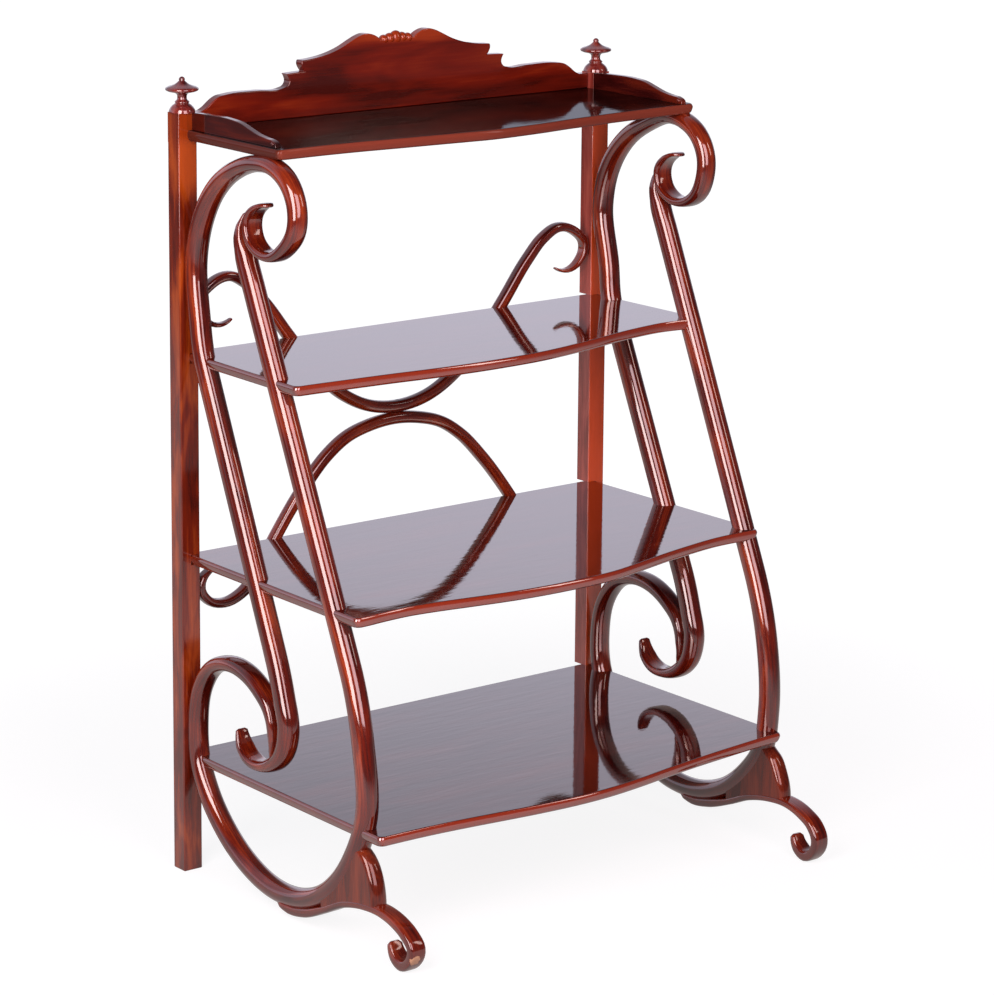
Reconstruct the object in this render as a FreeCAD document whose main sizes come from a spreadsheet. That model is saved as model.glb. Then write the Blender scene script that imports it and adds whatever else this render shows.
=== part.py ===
import FreeCAD, Part
import Sketcher
import math
import os

# Bentwood etagere: two square rear posts, four shelves, a pair of scrolled rods on
# each side, two lyre-shaped rods across the back and a low gallery with finials.
#
# Directions: +X right, +Y back, +Z up, millimetres, standing on Z = 0.
# "Reach" is the distance forward of the front face of the posts.

V = FreeCAD.Vector
doc = FreeCAD.newDocument("Etagere")
sheet = doc.addObject("Spreadsheet::Sheet", "Sizes")
sheet_row = [0]


def put(alias, value):
    """Write one named size to the sheet."""
    sheet_row[0] += 1
    cell = "B%d" % sheet_row[0]
    sheet.set("A%d" % sheet_row[0], alias)
    sheet.set(cell, repr(float(value)))
    sheet.setAlias(cell, alias)


def put_table(prefix, columns, rows):
    """Write a table of points, one named size for each column of each row."""
    for number, row in enumerate(rows, 1):
        for column, value in zip(columns, row):
            put("%s_%02d_%s" % (prefix, number, column), value)
    put(prefix + "_count", len(rows))


def size(alias):
    return float(sheet.get(alias))


def table(prefix, columns):
    return [[size("%s_%02d_%s" % (prefix, n, c)) for c in columns]
            for n in range(1, int(size(prefix + "_count")) + 1)]


# ---------------------------------------------------------------- sizes
SIZES = {
    # posts and the blocks above them
    "overall_width": 808, "post_width": 32, "post_depth": 29, "post_height": 1104,
    "post_edge": 2, "block_height": 44, "block_edge": 1,
    # shelves
    "shelf_thick": 15.5, "shelf_inset": 16, "shelf_back": 10.5, "housing_clearance": 0.1,
    "shelf_nose": 5, "lower_shelf_height": 184, "middle_shelf_height": 488.6,
    "upper_shelf_height": 793.4, "corner_round": 9, "left_splay": 7,
    # top shelf and gallery
    "top_lift": 3.3, "top_thick": 15.5, "top_inset": 15, "top_nose": 4, "block_clearance": 0.1,
    "gallery_thick": 16, "gallery_seat": 117, "gallery_shoulder": 2, "crest_half_width": 32,
    "crest_relief": 3, "crest_core": 8, "side_gallery_thick": 9,
    # scroll rods
    "scroll_inset": 22, "rod_diameter": 33, "flat_lead": 0.7, "flat_margin": 2, "loop_bite": 3.2,
    # foot, knee and strip
    "foot_width": 29, "foot_edge": 2.5, "knee_width": 27, "knee_nose": 9,
    # lyre rods
    "lyre_diameter": 19, "lyre_plane": 11, "lyre_joint_height": 652.7,
    "lyre_upper_sway": 0, "lyre_upper_tilt": 5, "lyre_lower_sway": -8, "lyre_lower_tilt": 0,
    # the tables of points are drawn for posts this far apart inside
    "drawn_inner_face": 372,
    # dowels and screws
    "dowel_diameter": 8, "dowel_bite": 13, "gallery_dowel_diameter": 6,
    "gallery_dowel_length": 26, "gallery_dowel_drop": 2, "side_dowel_drop": 6,
    "post_dowel_diameter": 12, "post_dowel_length": 50,
    "finial_spigot": 18, "finial_spigot_diameter": 10, "screw_diameter": 4, "screw_head": 8,
    "screw_head_depth": 3.5, "post_screw_length": 40, "lyre_middle_screw_length": 27,
    "lyre_end_screw_length": 22, "lyre_screw_diameter": 3, "lyre_screw_head": 6,
    "lyre_screw_head_depth": 2, "foot_screw_length": 24, "foot_screw_sink": 0.3,
    "foot_screw_bowl_row": 3, "foot_screw_knee_row": 6,
}
for name, value in SIZES.items():
    put(name, value)

# Front lines of the shelves from the left corner to the right one: distance from the
# middle and reach. They are drawn by hand, and their right ends stand back a little.
FRONT_LINE = ("aside", "reach")
put_table("top_line", FRONT_LINE, [
    (-380, 228), (-300, 228), (-240, 231), (-190, 236), (-129, 241), (-61, 247), (-20, 250),
    (30, 247), (92, 240), (136, 233), (180, 228), (224, 223), (300, 217), (380, 213)])
put_table("upper_line", FRONT_LINE, [
    (-379, 278), (-330, 281), (-283, 284), (-230, 288), (-160, 295), (-79, 299), (-20, 298),
    (38, 294), (81, 287), (130, 276), (175, 265), (230, 250), (275, 241), (319, 235), (379, 232)])
put_table("middle_line", FRONT_LINE, [
    (-379, 423), (-343, 419), (-300, 417), (-250, 422), (-197, 431), (-116, 443), (-20, 447),
    (60, 442), (130, 425), (190, 409), (240, 398), (300, 387), (379, 378)])
put_table("lower_line", FRONT_LINE, [
    (-379, 480), (-330, 481), (-280, 484), (-230, 489), (-187, 494), (-121, 501), (-40, 505),
    (20, 502), (72, 495), (140, 483), (212, 472), (284, 463), (340, 457), (379, 454)])

# Centre lines of the bent rods. Each point has its reach, height and thickness across
# the bend. The span after a point marked 1 is straight. The rod is flattened on its
# inner side, which is 1 for the left of the way along it and -1 for the right.
ROD = ("reach", "height", "thick", "straight", "inner")
put_table("rear", ROD, [
    (199, 1041, 4, 0, 1), (174, 1036, 8.5, 0, 1), (157, 1017, 11, 0, 1),
    (160, 990, 12, 0, 1), (180, 973.5, 13, 0, 1), (212, 970, 15, 0, 1), (240, 985, 20, 0, 1),
    (259.5, 1014, 25, 0, 1), (261, 1046, 27, 0, 1), (243, 1078, 26, 0, 1), (211, 1096, 24, 0, 1),
    (175, 1098.5, 24, 0, 1), (122, 1083, 27, 0, 1), (72, 1053, 30, 0, 1), (32, 1003, 33, 0, 1),
    (13.5, 940, 33, 0, 1), (24.5, 850, 33, 0, 1), (38, 781.5, 33, 1, 1),
    (215, 385.5, 33, 0, -1), (235, 329.5, 33, 0, -1), (246, 280.5, 33, 0, -1),
    (236, 246, 29, 0, -1), (212, 223, 22, 0, -1), (184, 213.5, 15.5, 0, -1),
    (156, 216, 13, 0, -1), (136, 231, 10.5, 0, -1), (127, 253, 6, 0, -1)])
put_table("front", ROD, [
    (147.5, 1020, 4, 0, 1), (143.5, 1003, 12, 0, 1), (140.5, 985, 20, 0, 1),
    (147, 957, 33, 0, 1), (162, 922.5, 33, 1, 1), (388, 420, 33, 0, 1),
    (422, 307.5, 33, 0, -1), (429, 206, 33, 0, -1), (410, 142, 33, 0, -1),
    (376, 96.5, 33, 0, -1), (331, 61, 33, 0, -1), (280, 41, 33, 0, -1),
    (212, 36.5, 33, 0, -1), (147, 54, 33, 0, -1), (86, 90, 33, 0, -1), (42, 137, 33, 0, -1),
    (19, 184, 32, 0, -1), (14.5, 232, 29, 0, -1), (30.5, 300, 26, 0, -1), (62, 335, 24, 0, -1),
    (100, 348.5, 23, 0, -1), (144, 346, 23, 0, -1), (185, 327, 21, 0, -1),
    (212, 302, 20, 0, -1), (220.5, 272, 16, 0, -1), (218, 246, 8, 0, -1), (208, 228, 3.5, 0, -1)])
# Hand bending of the scrolls: the right ones lean forward and up by these amounts, the
# left ones back and down. Each row holds for the rod points up to its last point.
LEAN = ("reach", "rise", "last")
put_table("rear_lean", LEAN, [
    (2, 2, 7), (-3, 1, 11), (2, 2, 12), (0, 0, 15), (2, 0, 16), (7, 0, 17), (5, 0, 18), (6, 4, 27)])
put_table("front_lean", LEAN, [(8, 0, 5), (-1, 8, 8), (6.5, 8, 14), (8.5, 5.5, 27)])
# Strip that ends in the foot scroll: thickness, and its share of the lean of the bowl.
FOOT = ("reach", "height", "thick", "share")
put_table("foot", FOOT, [
    (232, 26, 4, 1), (262, 19, 10, 1), (300, 25, 11, 1), (345, 43, 11, 0.7),
    (395, 65, 11, 0.5), (440, 75, 11, 0.5), (482, 76, 11.5, 0.5), (513, 68, 13, 0.4),
    (535, 56, 13.5, 0.3), (548, 38, 14, 0), (541, 18, 14, 0), (524, 8.55, 17, 0),
    (507, 16, 16, 0), (498, 32, 10, 0)])
# Knee block: outline from the rod round the front to the strip, then inside both.
put_table("knee", ("reach", "height", "share"), [
    (410, 168, 1), (431, 156, 0.4), (450, 141, 0.4), (462, 120, 0.4), (469, 98, 0.5),
    (471, 76, 0.5), (440, 75, 0.5), (395, 65, 0.5), (345, 43, 0.7), (342, 66, 1),
    (374, 97, 1), (407, 140, 1)])
put("knee_front_count", 6)
# The lyre rods in the plane of the back: distance from the middle, height from their
# joint, thickness.
LYRE = ("aside", "height", "thick", "straight")
put_table("lyre_upper", LYRE, [
    (0, 9.3, 19, 0), (54, 17.3, 19, 0), (106, 43.3, 19, 0), (155, 87.3, 19, 0),
    (204, 146.3, 19, 0), (252, 207.3, 18, 0), (283, 237.3, 17, 0), (312, 250.3, 15, 0),
    (344, 241.3, 14, 0), (365.5, 216.3, 13, 0), (354, 190.3, 10, 0), (330, 179.3, 7, 0),
    (308, 185.3, 4, 0)])
put_table("lyre_lower", LYRE, [
    (0, -9.2, 19, 0), (45, -13.7, 19, 0), (92, -27.7, 19, 0), (126, -49.7, 19, 0),
    (170, -93.7, 19, 0), (225, -163.7, 18, 0), (258, -211.7, 17, 0), (290, -240.7, 15, 0),
    (322, -249.7, 14, 0), (352, -240.7, 13.5, 0), (365.3, -216.7, 13, 0), (352, -197.7, 8, 0),
    (334, -193.7, 4, 0)])
# Half outlines of the gallery boards, from the outer end to the middle or the front,
# with heights above the posts.
put_table("gallery", ("aside", "height"), [
    (355, 42), (345, 47), (336, 54), (325, 60.5), (308, 63.5), (254, 64.5),
    (212, 64), (203, 67), (199, 73), (200, 79), (204, 85), (186, 86),
    (171, 86.5), (175, 92), (177, 97), (176, 103), (155, 104.5), (128, 109),
    (103, 117), (84, 126), (70, 132), (58, 134.5), (46, 132.5), (34, 126)])
put_table("leaf_tip", ("row",), [(10,), (12,), (15,)])
put_table("side", ("reach", "height"), [
    (40, 46), (95, 46.5), (122, 44), (145, 38), (165, 33), (187, 30),
    (203, 28), (210, 24), (211, 19.5)])
# Turned finial: radius and height above the block.
put_table("finial", ("radius", "height"), [
    (19, 0), (19, 3), (17.5, 7), (14, 11), (10, 13.5), (10.2, 15.5), (8, 17.5), (7, 22),
    (7.4, 26), (10.5, 28.5), (20, 30), (24, 32), (24.4, 34), (23, 36), (13.5, 39.5),
    (7, 43), (4.2, 45.5)])
put("finial_ball", 4.3)
# Carved crest: lobes of the shell, each with its place across, height above the posts
# and radius.
put_table("lobe", ("aside", "height", "radius"), [
    (0, 124.5, 11.5), (13, 123, 8.5), (23, 122, 8)])
doc.recompute()

# ---------------------------------------------------------------- derived lines
half_width = size("overall_width") / 2
inner_face = half_width - size("post_width")
post_mid_x = half_width - size("post_width") / 2
block_top = size("post_height") + size("block_height")
top_surface = size("post_height") + size("top_lift") + size("top_thick")
shelf_half = half_width - size("shelf_inset")
top_half = half_width - size("top_inset")
scroll_plane = half_width - size("scroll_inset")
spread = inner_face / size("drawn_inner_face")
post_top = size("post_height")
joint = size("lyre_joint_height")
upper_shelf = size("upper_shelf_height")
crown = max(row[1] + row[2] / 2 for row in table("rear", ROD))
stretch = (post_top + size("top_lift") + size("loop_bite") - upper_shelf) / (crown - upper_shelf)
far = 2 * block_top
rod_radius = size("rod_diameter") / 2
SIDES = (("left", -1), ("right", 1))
TINY, NEARLY_STRAIGHT = 1e-6, 1e-4
FACE_TOLERANCE, BACK_MARGIN = 0.01, 1
BALL_SIDE = (0.8, 0.6)


def check(shape, label):
    """Stop if a shape is empty or invalid."""
    if shape.isNull() or not shape.isValid() or shape.Volume <= 0:
        raise ValueError("bad shape: " + label)
    return shape


# ---------------------------------------------------------------- bent rods
def headings(points, straight, first=None, final=None):
    """Direction of travel at each point of a smooth line."""
    n = len(points)
    chord = [(points[i + 1][0] - points[i][0], points[i + 1][1] - points[i][1])
             for i in range(n - 1)]
    length = [math.hypot(*c) for c in chord]
    angle = [math.atan2(c[1], c[0]) for c in chord]
    head = [None] * n
    for i in range(1, n - 1):
        turn = (angle[i] - angle[i - 1] + math.pi) % (2 * math.pi) - math.pi
        head[i] = angle[i - 1] + turn * length[i - 1] / (length[i - 1] + length[i])
    for i in range(n - 1):
        if straight[i]:
            head[i] = head[i + 1] = angle[i]
    head[0] = first if first is not None else 2 * angle[0] - head[1]
    head[-1] = final if final is not None else 2 * angle[-1] - head[-2]
    return head


def biarc_middle(p, hp, q, hq):
    """Where two tangent arcs from p to q meet."""
    tp, tq = (math.cos(hp), math.sin(hp)), (math.cos(hq), math.sin(hq))
    v = (q[0] - p[0], q[1] - p[1])
    vt = v[0] * (tp[0] + tq[0]) + v[1] * (tp[1] + tq[1])
    vv = v[0] ** 2 + v[1] ** 2
    c = 2 * (1 - (tp[0] * tq[0] + tp[1] * tq[1]))
    if abs(c) < TINY:
        d = vv / (2 * vt)
    else:
        d = (-vt + math.sqrt(vt * vt + c * vv)) / c
    return ((p[0] + q[0] + d * (tp[0] - tq[0])) / 2, (p[1] + q[1] + d * (tp[1] - tq[1])) / 2)


def along_arc(p, hp, q, parts):
    """Points and directions on the arc that leaves p along hp and ends at q."""
    bend = (math.atan2(q[1] - p[1], q[0] - p[0]) - hp + math.pi) % (2 * math.pi) - math.pi
    chord = math.hypot(q[0] - p[0], q[1] - p[1])
    out = []
    for k in range(1, parts + 1):
        t = k / parts
        if abs(bend) < TINY:
            out.append((p[0] + (q[0] - p[0]) * t, p[1] + (q[1] - p[1]) * t, hp))
        else:
            r, a = chord / (2 * math.sin(bend)), 2 * bend * t
            out.append((p[0] + r * (math.sin(hp + a) - math.sin(hp)),
                        p[1] - r * (math.cos(hp + a) - math.cos(hp)), hp + a))
    return out


def arcs_through(points, head, straight):
    """Tangent arcs (start, direction, end, span) through points with set directions."""
    out = []
    for i in range(len(points) - 1):
        a, b = points[i], points[i + 1]
        if straight[i]:
            out.append((a, head[i], b, i))
        else:
            mid = biarc_middle(a, head[i], b, head[i + 1])
            out.append((a, head[i], mid, i))
            out.append((mid, along_arc(a, head[i], mid, 1)[-1][2], b, i))
    return out


def flat(p):
    return V(p[0], p[1], 0)


def line_between(a, b, to_space=flat):
    return Part.LineSegment(to_space(a), to_space(b))


def arc_curve(arc, to_space=flat):
    """Line or arc in space for one tangent arc."""
    start, heading, end, span = arc
    half = along_arc(start, heading, end, 2)[0]
    if abs(half[2] - heading) < NEARLY_STRAIGHT:
        return line_between(start, end, to_space)
    return Part.Arc(to_space(start), to_space(half), to_space(end))


def smooth_curves(points, to_space=flat, first=None, final=None):
    """Smooth curve of tangent arcs through points."""
    loose = [False] * len(points)
    head = headings(points, loose, first, final)
    return [arc_curve(a, to_space) for a in arcs_through(points, head, loose)]


def lines_through(points, to_space=flat):
    return [line_between(a, b, to_space) for a, b in zip(points, points[1:])
            if math.hypot(a[0] - b[0], a[1] - b[1]) > TINY]


def face_of(curves):
    return Part.Face(Part.Wire([c.toShape() for c in curves]))


def moved(p, heading, inner, aside, ahead=0.0):
    """A point moved towards the inner side of a bend and along it."""
    return (p[0] - math.sin(heading) * inner * aside + math.cos(heading) * ahead,
            p[1] + math.cos(heading) * inner * aside + math.sin(heading) * ahead)


class Rod:
    """Round rod bent along tangent arcs and flattened on the inside of its ends.

    rows: across, height, thickness, straight, inner.
    """

    def __init__(self, rows, radius, to_space, normal, first=None):
        self.rows, self.radius, self.to_space, self.normal = rows, radius, to_space, normal
        self.straight = [r[3] > 0.5 for r in rows]
        self.head = headings([r[:2] for r in rows], self.straight, first)
        # the outer face of the bend stays on the traced line where the rod is thinner
        self.axis = [moved(r, h, r[4], radius - r[2] / 2) for r, h in zip(rows, self.head)]
        self.arcs = arcs_through(self.axis, self.head, self.straight)

    def flattening(self, run):
        """Solid to take off the inner side over a run of rows thinner than the rod."""
        first, last = max(run[0] - 1, 0), min(run[-1] + 1, len(self.rows) - 1)
        lead, margin = size("flat_lead"), self.radius + size("flat_margin")
        near = []
        for i in range(first, last + 1):
            depth = self.rows[i][2] - self.radius if i in run else self.radius + lead
            near.append(moved(self.axis[i], self.head[i], self.rows[i][4], depth))
        far = []
        for start, heading, end, span in self.arcs:
            if first <= span < last:
                inner = self.rows[run[0]][4]
                for p in [tuple(start) + (heading,)] + along_arc(start, heading, end, 4)[:-1]:
                    far.append(moved(p, p[2], inner, margin))
        inner = self.rows[run[0]][4]
        far.append(moved(self.axis[last], self.head[last], inner, margin))
        before = moved(near[0], self.head[first], inner, 0, -lead)
        after = moved(near[-1], self.head[last], inner, 0, lead)
        far[0] = moved(far[0], self.head[first], inner, 0, -lead)
        far[-1] = moved(far[-1], self.head[last], inner, 0, lead)
        curves = smooth_curves(near, self.to_space) + lines_through(
            [near[-1], after] + far[::-1] + [before, near[0]], self.to_space)
        side = face_of(curves)
        side.translate(self.normal * -margin)
        return side.extrude(self.normal * (2 * margin))

    def solid(self, label):
        """The bent rod as a solid."""
        spine = Part.Wire([arc_curve(a, self.to_space).toShape() for a in self.arcs])
        start = self.to_space(self.axis[0])
        ahead = self.to_space(moved(self.axis[0], self.head[0], 1, 0, 1)) - start
        end = Part.Face(Part.Wire([Part.Circle(start, ahead, self.radius).toShape()]))
        rod = spine.makePipe(end).Solids[0]
        runs = []
        for i, row in enumerate(self.rows):
            if row[2] < 2 * self.radius:
                if runs and runs[-1][-1] == i - 1:
                    runs[-1].append(i)
                else:
                    runs.append([i])
        for run in runs:
            rod = largest(rod.cut(self.flattening(run)))
        return check(rod, label)

    def reach_at(self, height, limit=math.inf):
        """Furthest reach of the axis at a height, looking no further than a limit."""
        hits = []
        for start, heading, end, span in self.arcs:
            pts = [start] + along_arc(start, heading, end, 4)
            for a, b in zip(pts, pts[1:]):
                if (a[1] - height) * (b[1] - height) <= 0 and a[1] != b[1]:
                    x = a[0] + (b[0] - a[0]) * (height - a[1]) / (b[1] - a[1])
                    if x < limit:
                        hits.append(x)
        return max(hits)


def largest(shape):
    return max(shape.Solids, key=lambda s: s.Volume)


def leant(rows, leans, sign):
    """Rows of a scroll rod on one side, with its hand bending."""
    out = []
    for number, row in enumerate(rows, 1):
        reach, rise, last = next(z for z in leans if number <= z[2])
        out.append([row[0] + sign * reach, row[1] + sign * rise] + row[2:])
    return out


def bowl_lean():
    return table("front_lean", LEAN)[2]


def side_space(sign):
    """Map reach and height to space in the plane of the scrolls on one side."""
    return lambda p: V(sign * scroll_plane, -p[0], p[1])


def back_space(p):
    return V(p[0], size("lyre_plane"), p[1])


def rod_rows(prefix):
    """Rows of a scroll rod, drawn out above the upper shelf to meet the top shelf."""
    return [[row[0], row[1] + (stretch - 1) * max(row[1] - upper_shelf, 0)] + row[2:]
            for row in table(prefix, ROD)]


def scroll_rod(prefix, sign):
    rows = leant(rod_rows(prefix), table(prefix + "_lean", LEAN), sign)
    return Rod(rows, rod_radius, side_space(sign), V(1, 0, 0))


def lyre_rows(prefix):
    """Rows of a lyre rod from its left end to its right one, with its hand bending."""
    half = table(prefix, LYRE)
    rows = [[-r[0]] + r[1:] for r in reversed(half[1:])] + half
    end = max(r[0] for r in half)
    sway, tilt = size(prefix + "_sway"), size(prefix + "_tilt")
    return [[spread * (r[0] + sway * (1 - (r[0] / end) ** 2)),
             joint + r[1] + tilt * r[0] / end] + r[2:] for r in rows]


def lyre_solid(prefix, inner):
    """Lyre rod, bent in one piece."""
    rows = [r + [inner] for r in lyre_rows(prefix)]
    return Rod(rows, size("lyre_diameter") / 2, back_space, V(0, 1, 0)).solid(prefix)


def foot_solid(sign):
    """Strip of the foot: outline of even width with its long edges eased."""
    lean = bowl_lean()
    rows = [[r[0] + sign * lean[0] * r[3], r[1] + sign * lean[1] * r[3], r[2]]
            for r in table("foot", FOOT)]
    head = headings([r[:2] for r in rows], [False] * len(rows))
    above = [moved(r, h, 1, r[2] / 2) for r, h in zip(rows, head)]
    below = [moved(r, h, -1, r[2] / 2) for r, h in zip(rows, head)]
    space = side_space(sign)
    side = face_of(smooth_curves(above, space) + lines_through([above[-1], below[-1]], space) +
                   smooth_curves(below[::-1], space) + lines_through([below[0], above[0]], space))
    width = size("foot_width")
    side.translate(V(-width / 2, 0, 0))
    strip = side.extrude(V(width, 0, 0))
    long_edges = [e for e in strip.Edges if e.BoundBox.XLength < TINY and
                  e.Length > size("foot_width") / 2]
    return check(strip.makeChamfer(size("foot_edge") / 2, long_edges), "foot")


def knee_solid(sign):
    """Knee block: even width with a rounded front."""
    lean = bowl_lean()
    pts = [(r[0] + sign * lean[0] * r[2], r[1] + sign * lean[1] * r[2])
           for r in table("knee", ("reach", "height", "share"))]
    space = side_space(sign)
    corners = int(size("knee_front_count"))
    front, rest = pts[:corners], pts[corners - 1:] + pts[:1]
    side = face_of(smooth_curves(front, space) + lines_through(rest, space))
    width = size("knee_width")
    side.translate(V(-width / 2, 0, 0))
    block = side.extrude(V(width, 0, 0))
    front_points = [space(p) for p in front[1:]]
    rims = [e for e in block.Edges if e.BoundBox.XLength < TINY and
            min((e.CenterOfMass - V(e.CenterOfMass.x, p.y, p.z)).Length
                for p in front_points) < size("knee_width") / 2 and
            e.CenterOfMass.y < space(pts[0]).y]
    return check(block.makeFillet(size("knee_nose"), rims), "knee")


# ---------------------------------------------------------------- sketches and bodies
def plane(body, role):
    return next(f for f in body.Origin.OriginFeatures if f.Role == role)


def new_body(name):
    return doc.addObject("PartDesign::Body", name)


def add_sketch(body, name, role):
    sk = body.newObject("Sketcher::SketchObject", name)
    sk.AttachmentSupport = [(plane(body, role), "")]
    sk.MapMode = "FlatFace"
    return sk


def add_rectangle(sk, left, bottom, width, height):
    """Rectangle whose place and size are four expressions on the sheet."""
    n = sk.GeometryCount
    # a rough shape first, which the constraints then pull to size
    c = [V(1, 1, 0), V(2, 1, 0), V(2, 2, 0), V(1, 2, 0)]
    for i in range(4):
        sk.addGeometry(Part.LineSegment(c[i], c[(i + 1) % 4]), False)
    for i in range(4):
        sk.addConstraint(Sketcher.Constraint("Coincident", n + i, 2, n + (i + 1) % 4, 1))
    for i, kind in enumerate(("Horizontal", "Vertical", "Horizontal", "Vertical")):
        sk.addConstraint(Sketcher.Constraint(kind, n + i))
    specs = (("DistanceX", (n, 1, n, 2), width), ("DistanceY", (n + 1, 1, n + 1, 2), height),
             ("DistanceX", (-1, 1, n, 1), left), ("DistanceY", (-1, 1, n, 1), bottom))
    for kind, where, expression in specs:
        k = sk.addConstraint(Sketcher.Constraint(kind, *where, 1.0))
        sk.setExpression("Constraints[%d]" % k, expression)


def add_outline(sk, edges):
    """Closed outline of lines and arcs, joined end to end and locked."""
    n = sk.GeometryCount
    for e in edges:
        sk.addGeometry(e, False)
    for i in range(len(edges)):
        sk.addConstraint(Sketcher.Constraint("Block", n + i))


def pad(body, name, sk, length, reverse=False, midplane=False):
    p = body.newObject("PartDesign::Pad", name)
    p.Profile = sk
    p.setExpression("Length", length)
    p.Reversed = reverse
    p.Midplane = midplane
    return p


# ---------------------------------------------------------------- posts
nodes = {}
SHELVES = ("lower", "middle", "upper")


def eased(body, base, name, radius):
    """Round the upright edges of a post or block, and those of its foot."""
    low, high = base.Shape.BoundBox.ZMin, base.Shape.BoundBox.ZMax
    edges = []
    for i, e in enumerate(base.Shape.Edges, 1):
        upright = e.BoundBox.ZLength > (high - low) / 2
        if upright or (low < TINY and e.BoundBox.ZMax < TINY + low):
            edges.append("Edge%d" % i)
    rim = body.newObject("PartDesign::Fillet", name)
    rim.Base = (base, edges)
    rim.setExpression("Radius", radius)
    doc.recompute()
    return rim


def post_plan(body, name, sign):
    sk = add_sketch(body, name, "XY_Plane")
    left = "Sizes.overall_width / 2 - Sizes.post_width" if sign > 0 else "-Sizes.overall_width / 2"
    add_rectangle(sk, left, "0 * Sizes.post_depth", "Sizes.post_width", "Sizes.post_depth")
    return sk


def make_post(side, sign):
    body = new_body("Post_" + side)
    sk = post_plan(body, "PostPlan_" + side, sign)
    stock = pad(body, "PostLength_" + side, sk, "Sizes.post_height")
    doc.recompute()
    eased(body, stock, "PostEdges_" + side, "Sizes.post_edge")
    # housings for the shelves, open at the front and at the rear
    cut = add_sketch(body, "Housings_" + side, "XZ_Plane")
    for shelf in SHELVES:
        depth = "Sizes.housing_clearance - Sizes.shelf_inset + Sizes.post_width"
        x0 = "Sizes.overall_width / 2 - Sizes.post_width" if sign > 0 else \
            "Sizes.shelf_inset - Sizes.overall_width / 2 - Sizes.housing_clearance"
        add_rectangle(cut, x0, "Sizes.%s_shelf_height - Sizes.shelf_thick" % shelf, depth,
                      "Sizes.shelf_thick + Sizes.housing_clearance")
    pocket = body.newObject("PartDesign::Pocket", "Housing_" + side)
    pocket.Profile = cut
    pocket.Type = "ThroughAll"
    pocket.Midplane = True
    doc.recompute()
    return body


def make_block(side, sign):
    body = new_body("Block_" + side)
    sk = post_plan(body, "BlockPlan_" + side, sign)
    sk.setExpression(".AttachmentOffset.Base.z", "Sizes.post_height")
    stock = pad(body, "BlockHeight_" + side, sk, "Sizes.block_height")
    doc.recompute()
    eased(body, stock, "BlockEdges_" + side, "Sizes.block_edge")
    return body


def make_finial(side, sign):
    body = new_body("Finial_" + side)
    sk = add_sketch(body, "FinialProfile_" + side, "XZ_Plane")
    rows = table("finial", ("radius", "height"))
    ball = size("finial_ball")
    spigot, spigot_r = size("finial_spigot"), size("finial_spigot_diameter") / 2
    top = rows[-1]
    rise = math.sqrt(ball ** 2 - top[0] ** 2)
    tip = top[1] + rise + ball
    edges = smooth_curves(rows)
    edges.append(Part.Arc(flat(top), flat((ball * BALL_SIDE[0], top[1] + rise +
                                           ball * BALL_SIDE[1])), flat((0, tip))))
    edges += lines_through([(0, tip), (0, -spigot), (spigot_r, -spigot), (spigot_r, 0),
                            (rows[0][0], 0)])
    add_outline(sk, edges)
    turned = body.newObject("PartDesign::Revolution", "Turned_" + side)
    turned.Profile = sk
    turned.ReferenceAxis = (sk, ["V_Axis"])
    turned.Angle = 360
    doc.recompute()
    return body


# ---------------------------------------------------------------- shelves
def shelf_plan(half, back, line, splay):
    """Plan of a shelf: straight back and sides, drawn front, rounded front corners."""
    rim = size("corner_round")
    part = rim * (1 - math.sqrt(0.5))
    ends = half / (abs(line[0][0]) + rim)
    front = [(r[0] * ends, -r[1]) for r in line]
    front[0] = (rim - half - splay, front[0][1])
    front[-1] = (half - rim, front[-1][1])
    corners = []
    for sign, out, (x, y) in ((-1, half + splay, front[0]), (1, half, front[-1])):
        side, middle = (sign * out, y + rim), (sign * (out - part), y + part)
        corners.append((side, Part.Arc(flat(side), flat(middle), flat((x, y)))))
    (left, left_arc), (right, right_arc) = corners
    return (lines_through([right, (half, back), (-half, back), left]) + [left_arc] +
            smooth_curves(front, first=0.0, final=0.0) + [right_arc])


def front_edges(shape, back, low, high):
    """Edges of the front and side rims at the two faces, for rounding."""
    out = []
    for i, e in enumerate(shape.Edges, 1):
        box = e.BoundBox
        level = box.ZMax - box.ZMin < FACE_TOLERANCE
        at_face = min(abs(box.ZMin - low), abs(box.ZMin - high)) < FACE_TOLERANCE
        if level and at_face and box.YMin < back - BACK_MARGIN:
            out.append("Edge%d" % i)
    return out


def make_board(name, half, back, line, splay, thick_alias, nose_alias, height):
    body = new_body(name)
    sk = add_sketch(body, name + "Plan", "XY_Plane")
    add_outline(sk, shelf_plan(half, back, table(line, FRONT_LINE), splay))
    sk.AttachmentOffset = FreeCAD.Placement(V(0, 0, height), FreeCAD.Rotation())
    board = pad(body, name + "Thickness", sk, "Sizes." + thick_alias, reverse=True)
    doc.recompute()
    rim = body.newObject("PartDesign::Fillet", name + "Nose")
    rim.Base = (board, front_edges(board.Shape, back, height - size(thick_alias), height))
    rim.setExpression("Radius", "Sizes." + nose_alias)
    doc.recompute()
    return body


# ---------------------------------------------------------------- build the stock pieces
rods, rod_shapes = {}, {}
for side, sign in SIDES:
    for prefix in ("rear", "front"):
        rods[prefix, side] = scroll_rod(prefix, sign)
        rod_shapes[prefix, side] = rods[prefix, side].solid(prefix + " " + side)
    rod_shapes["foot", side] = foot_solid(sign)
rod_shapes["lyre_upper"] = lyre_solid("lyre_upper", -1)
rod_shapes["lyre_lower"] = lyre_solid("lyre_lower", 1)

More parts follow.
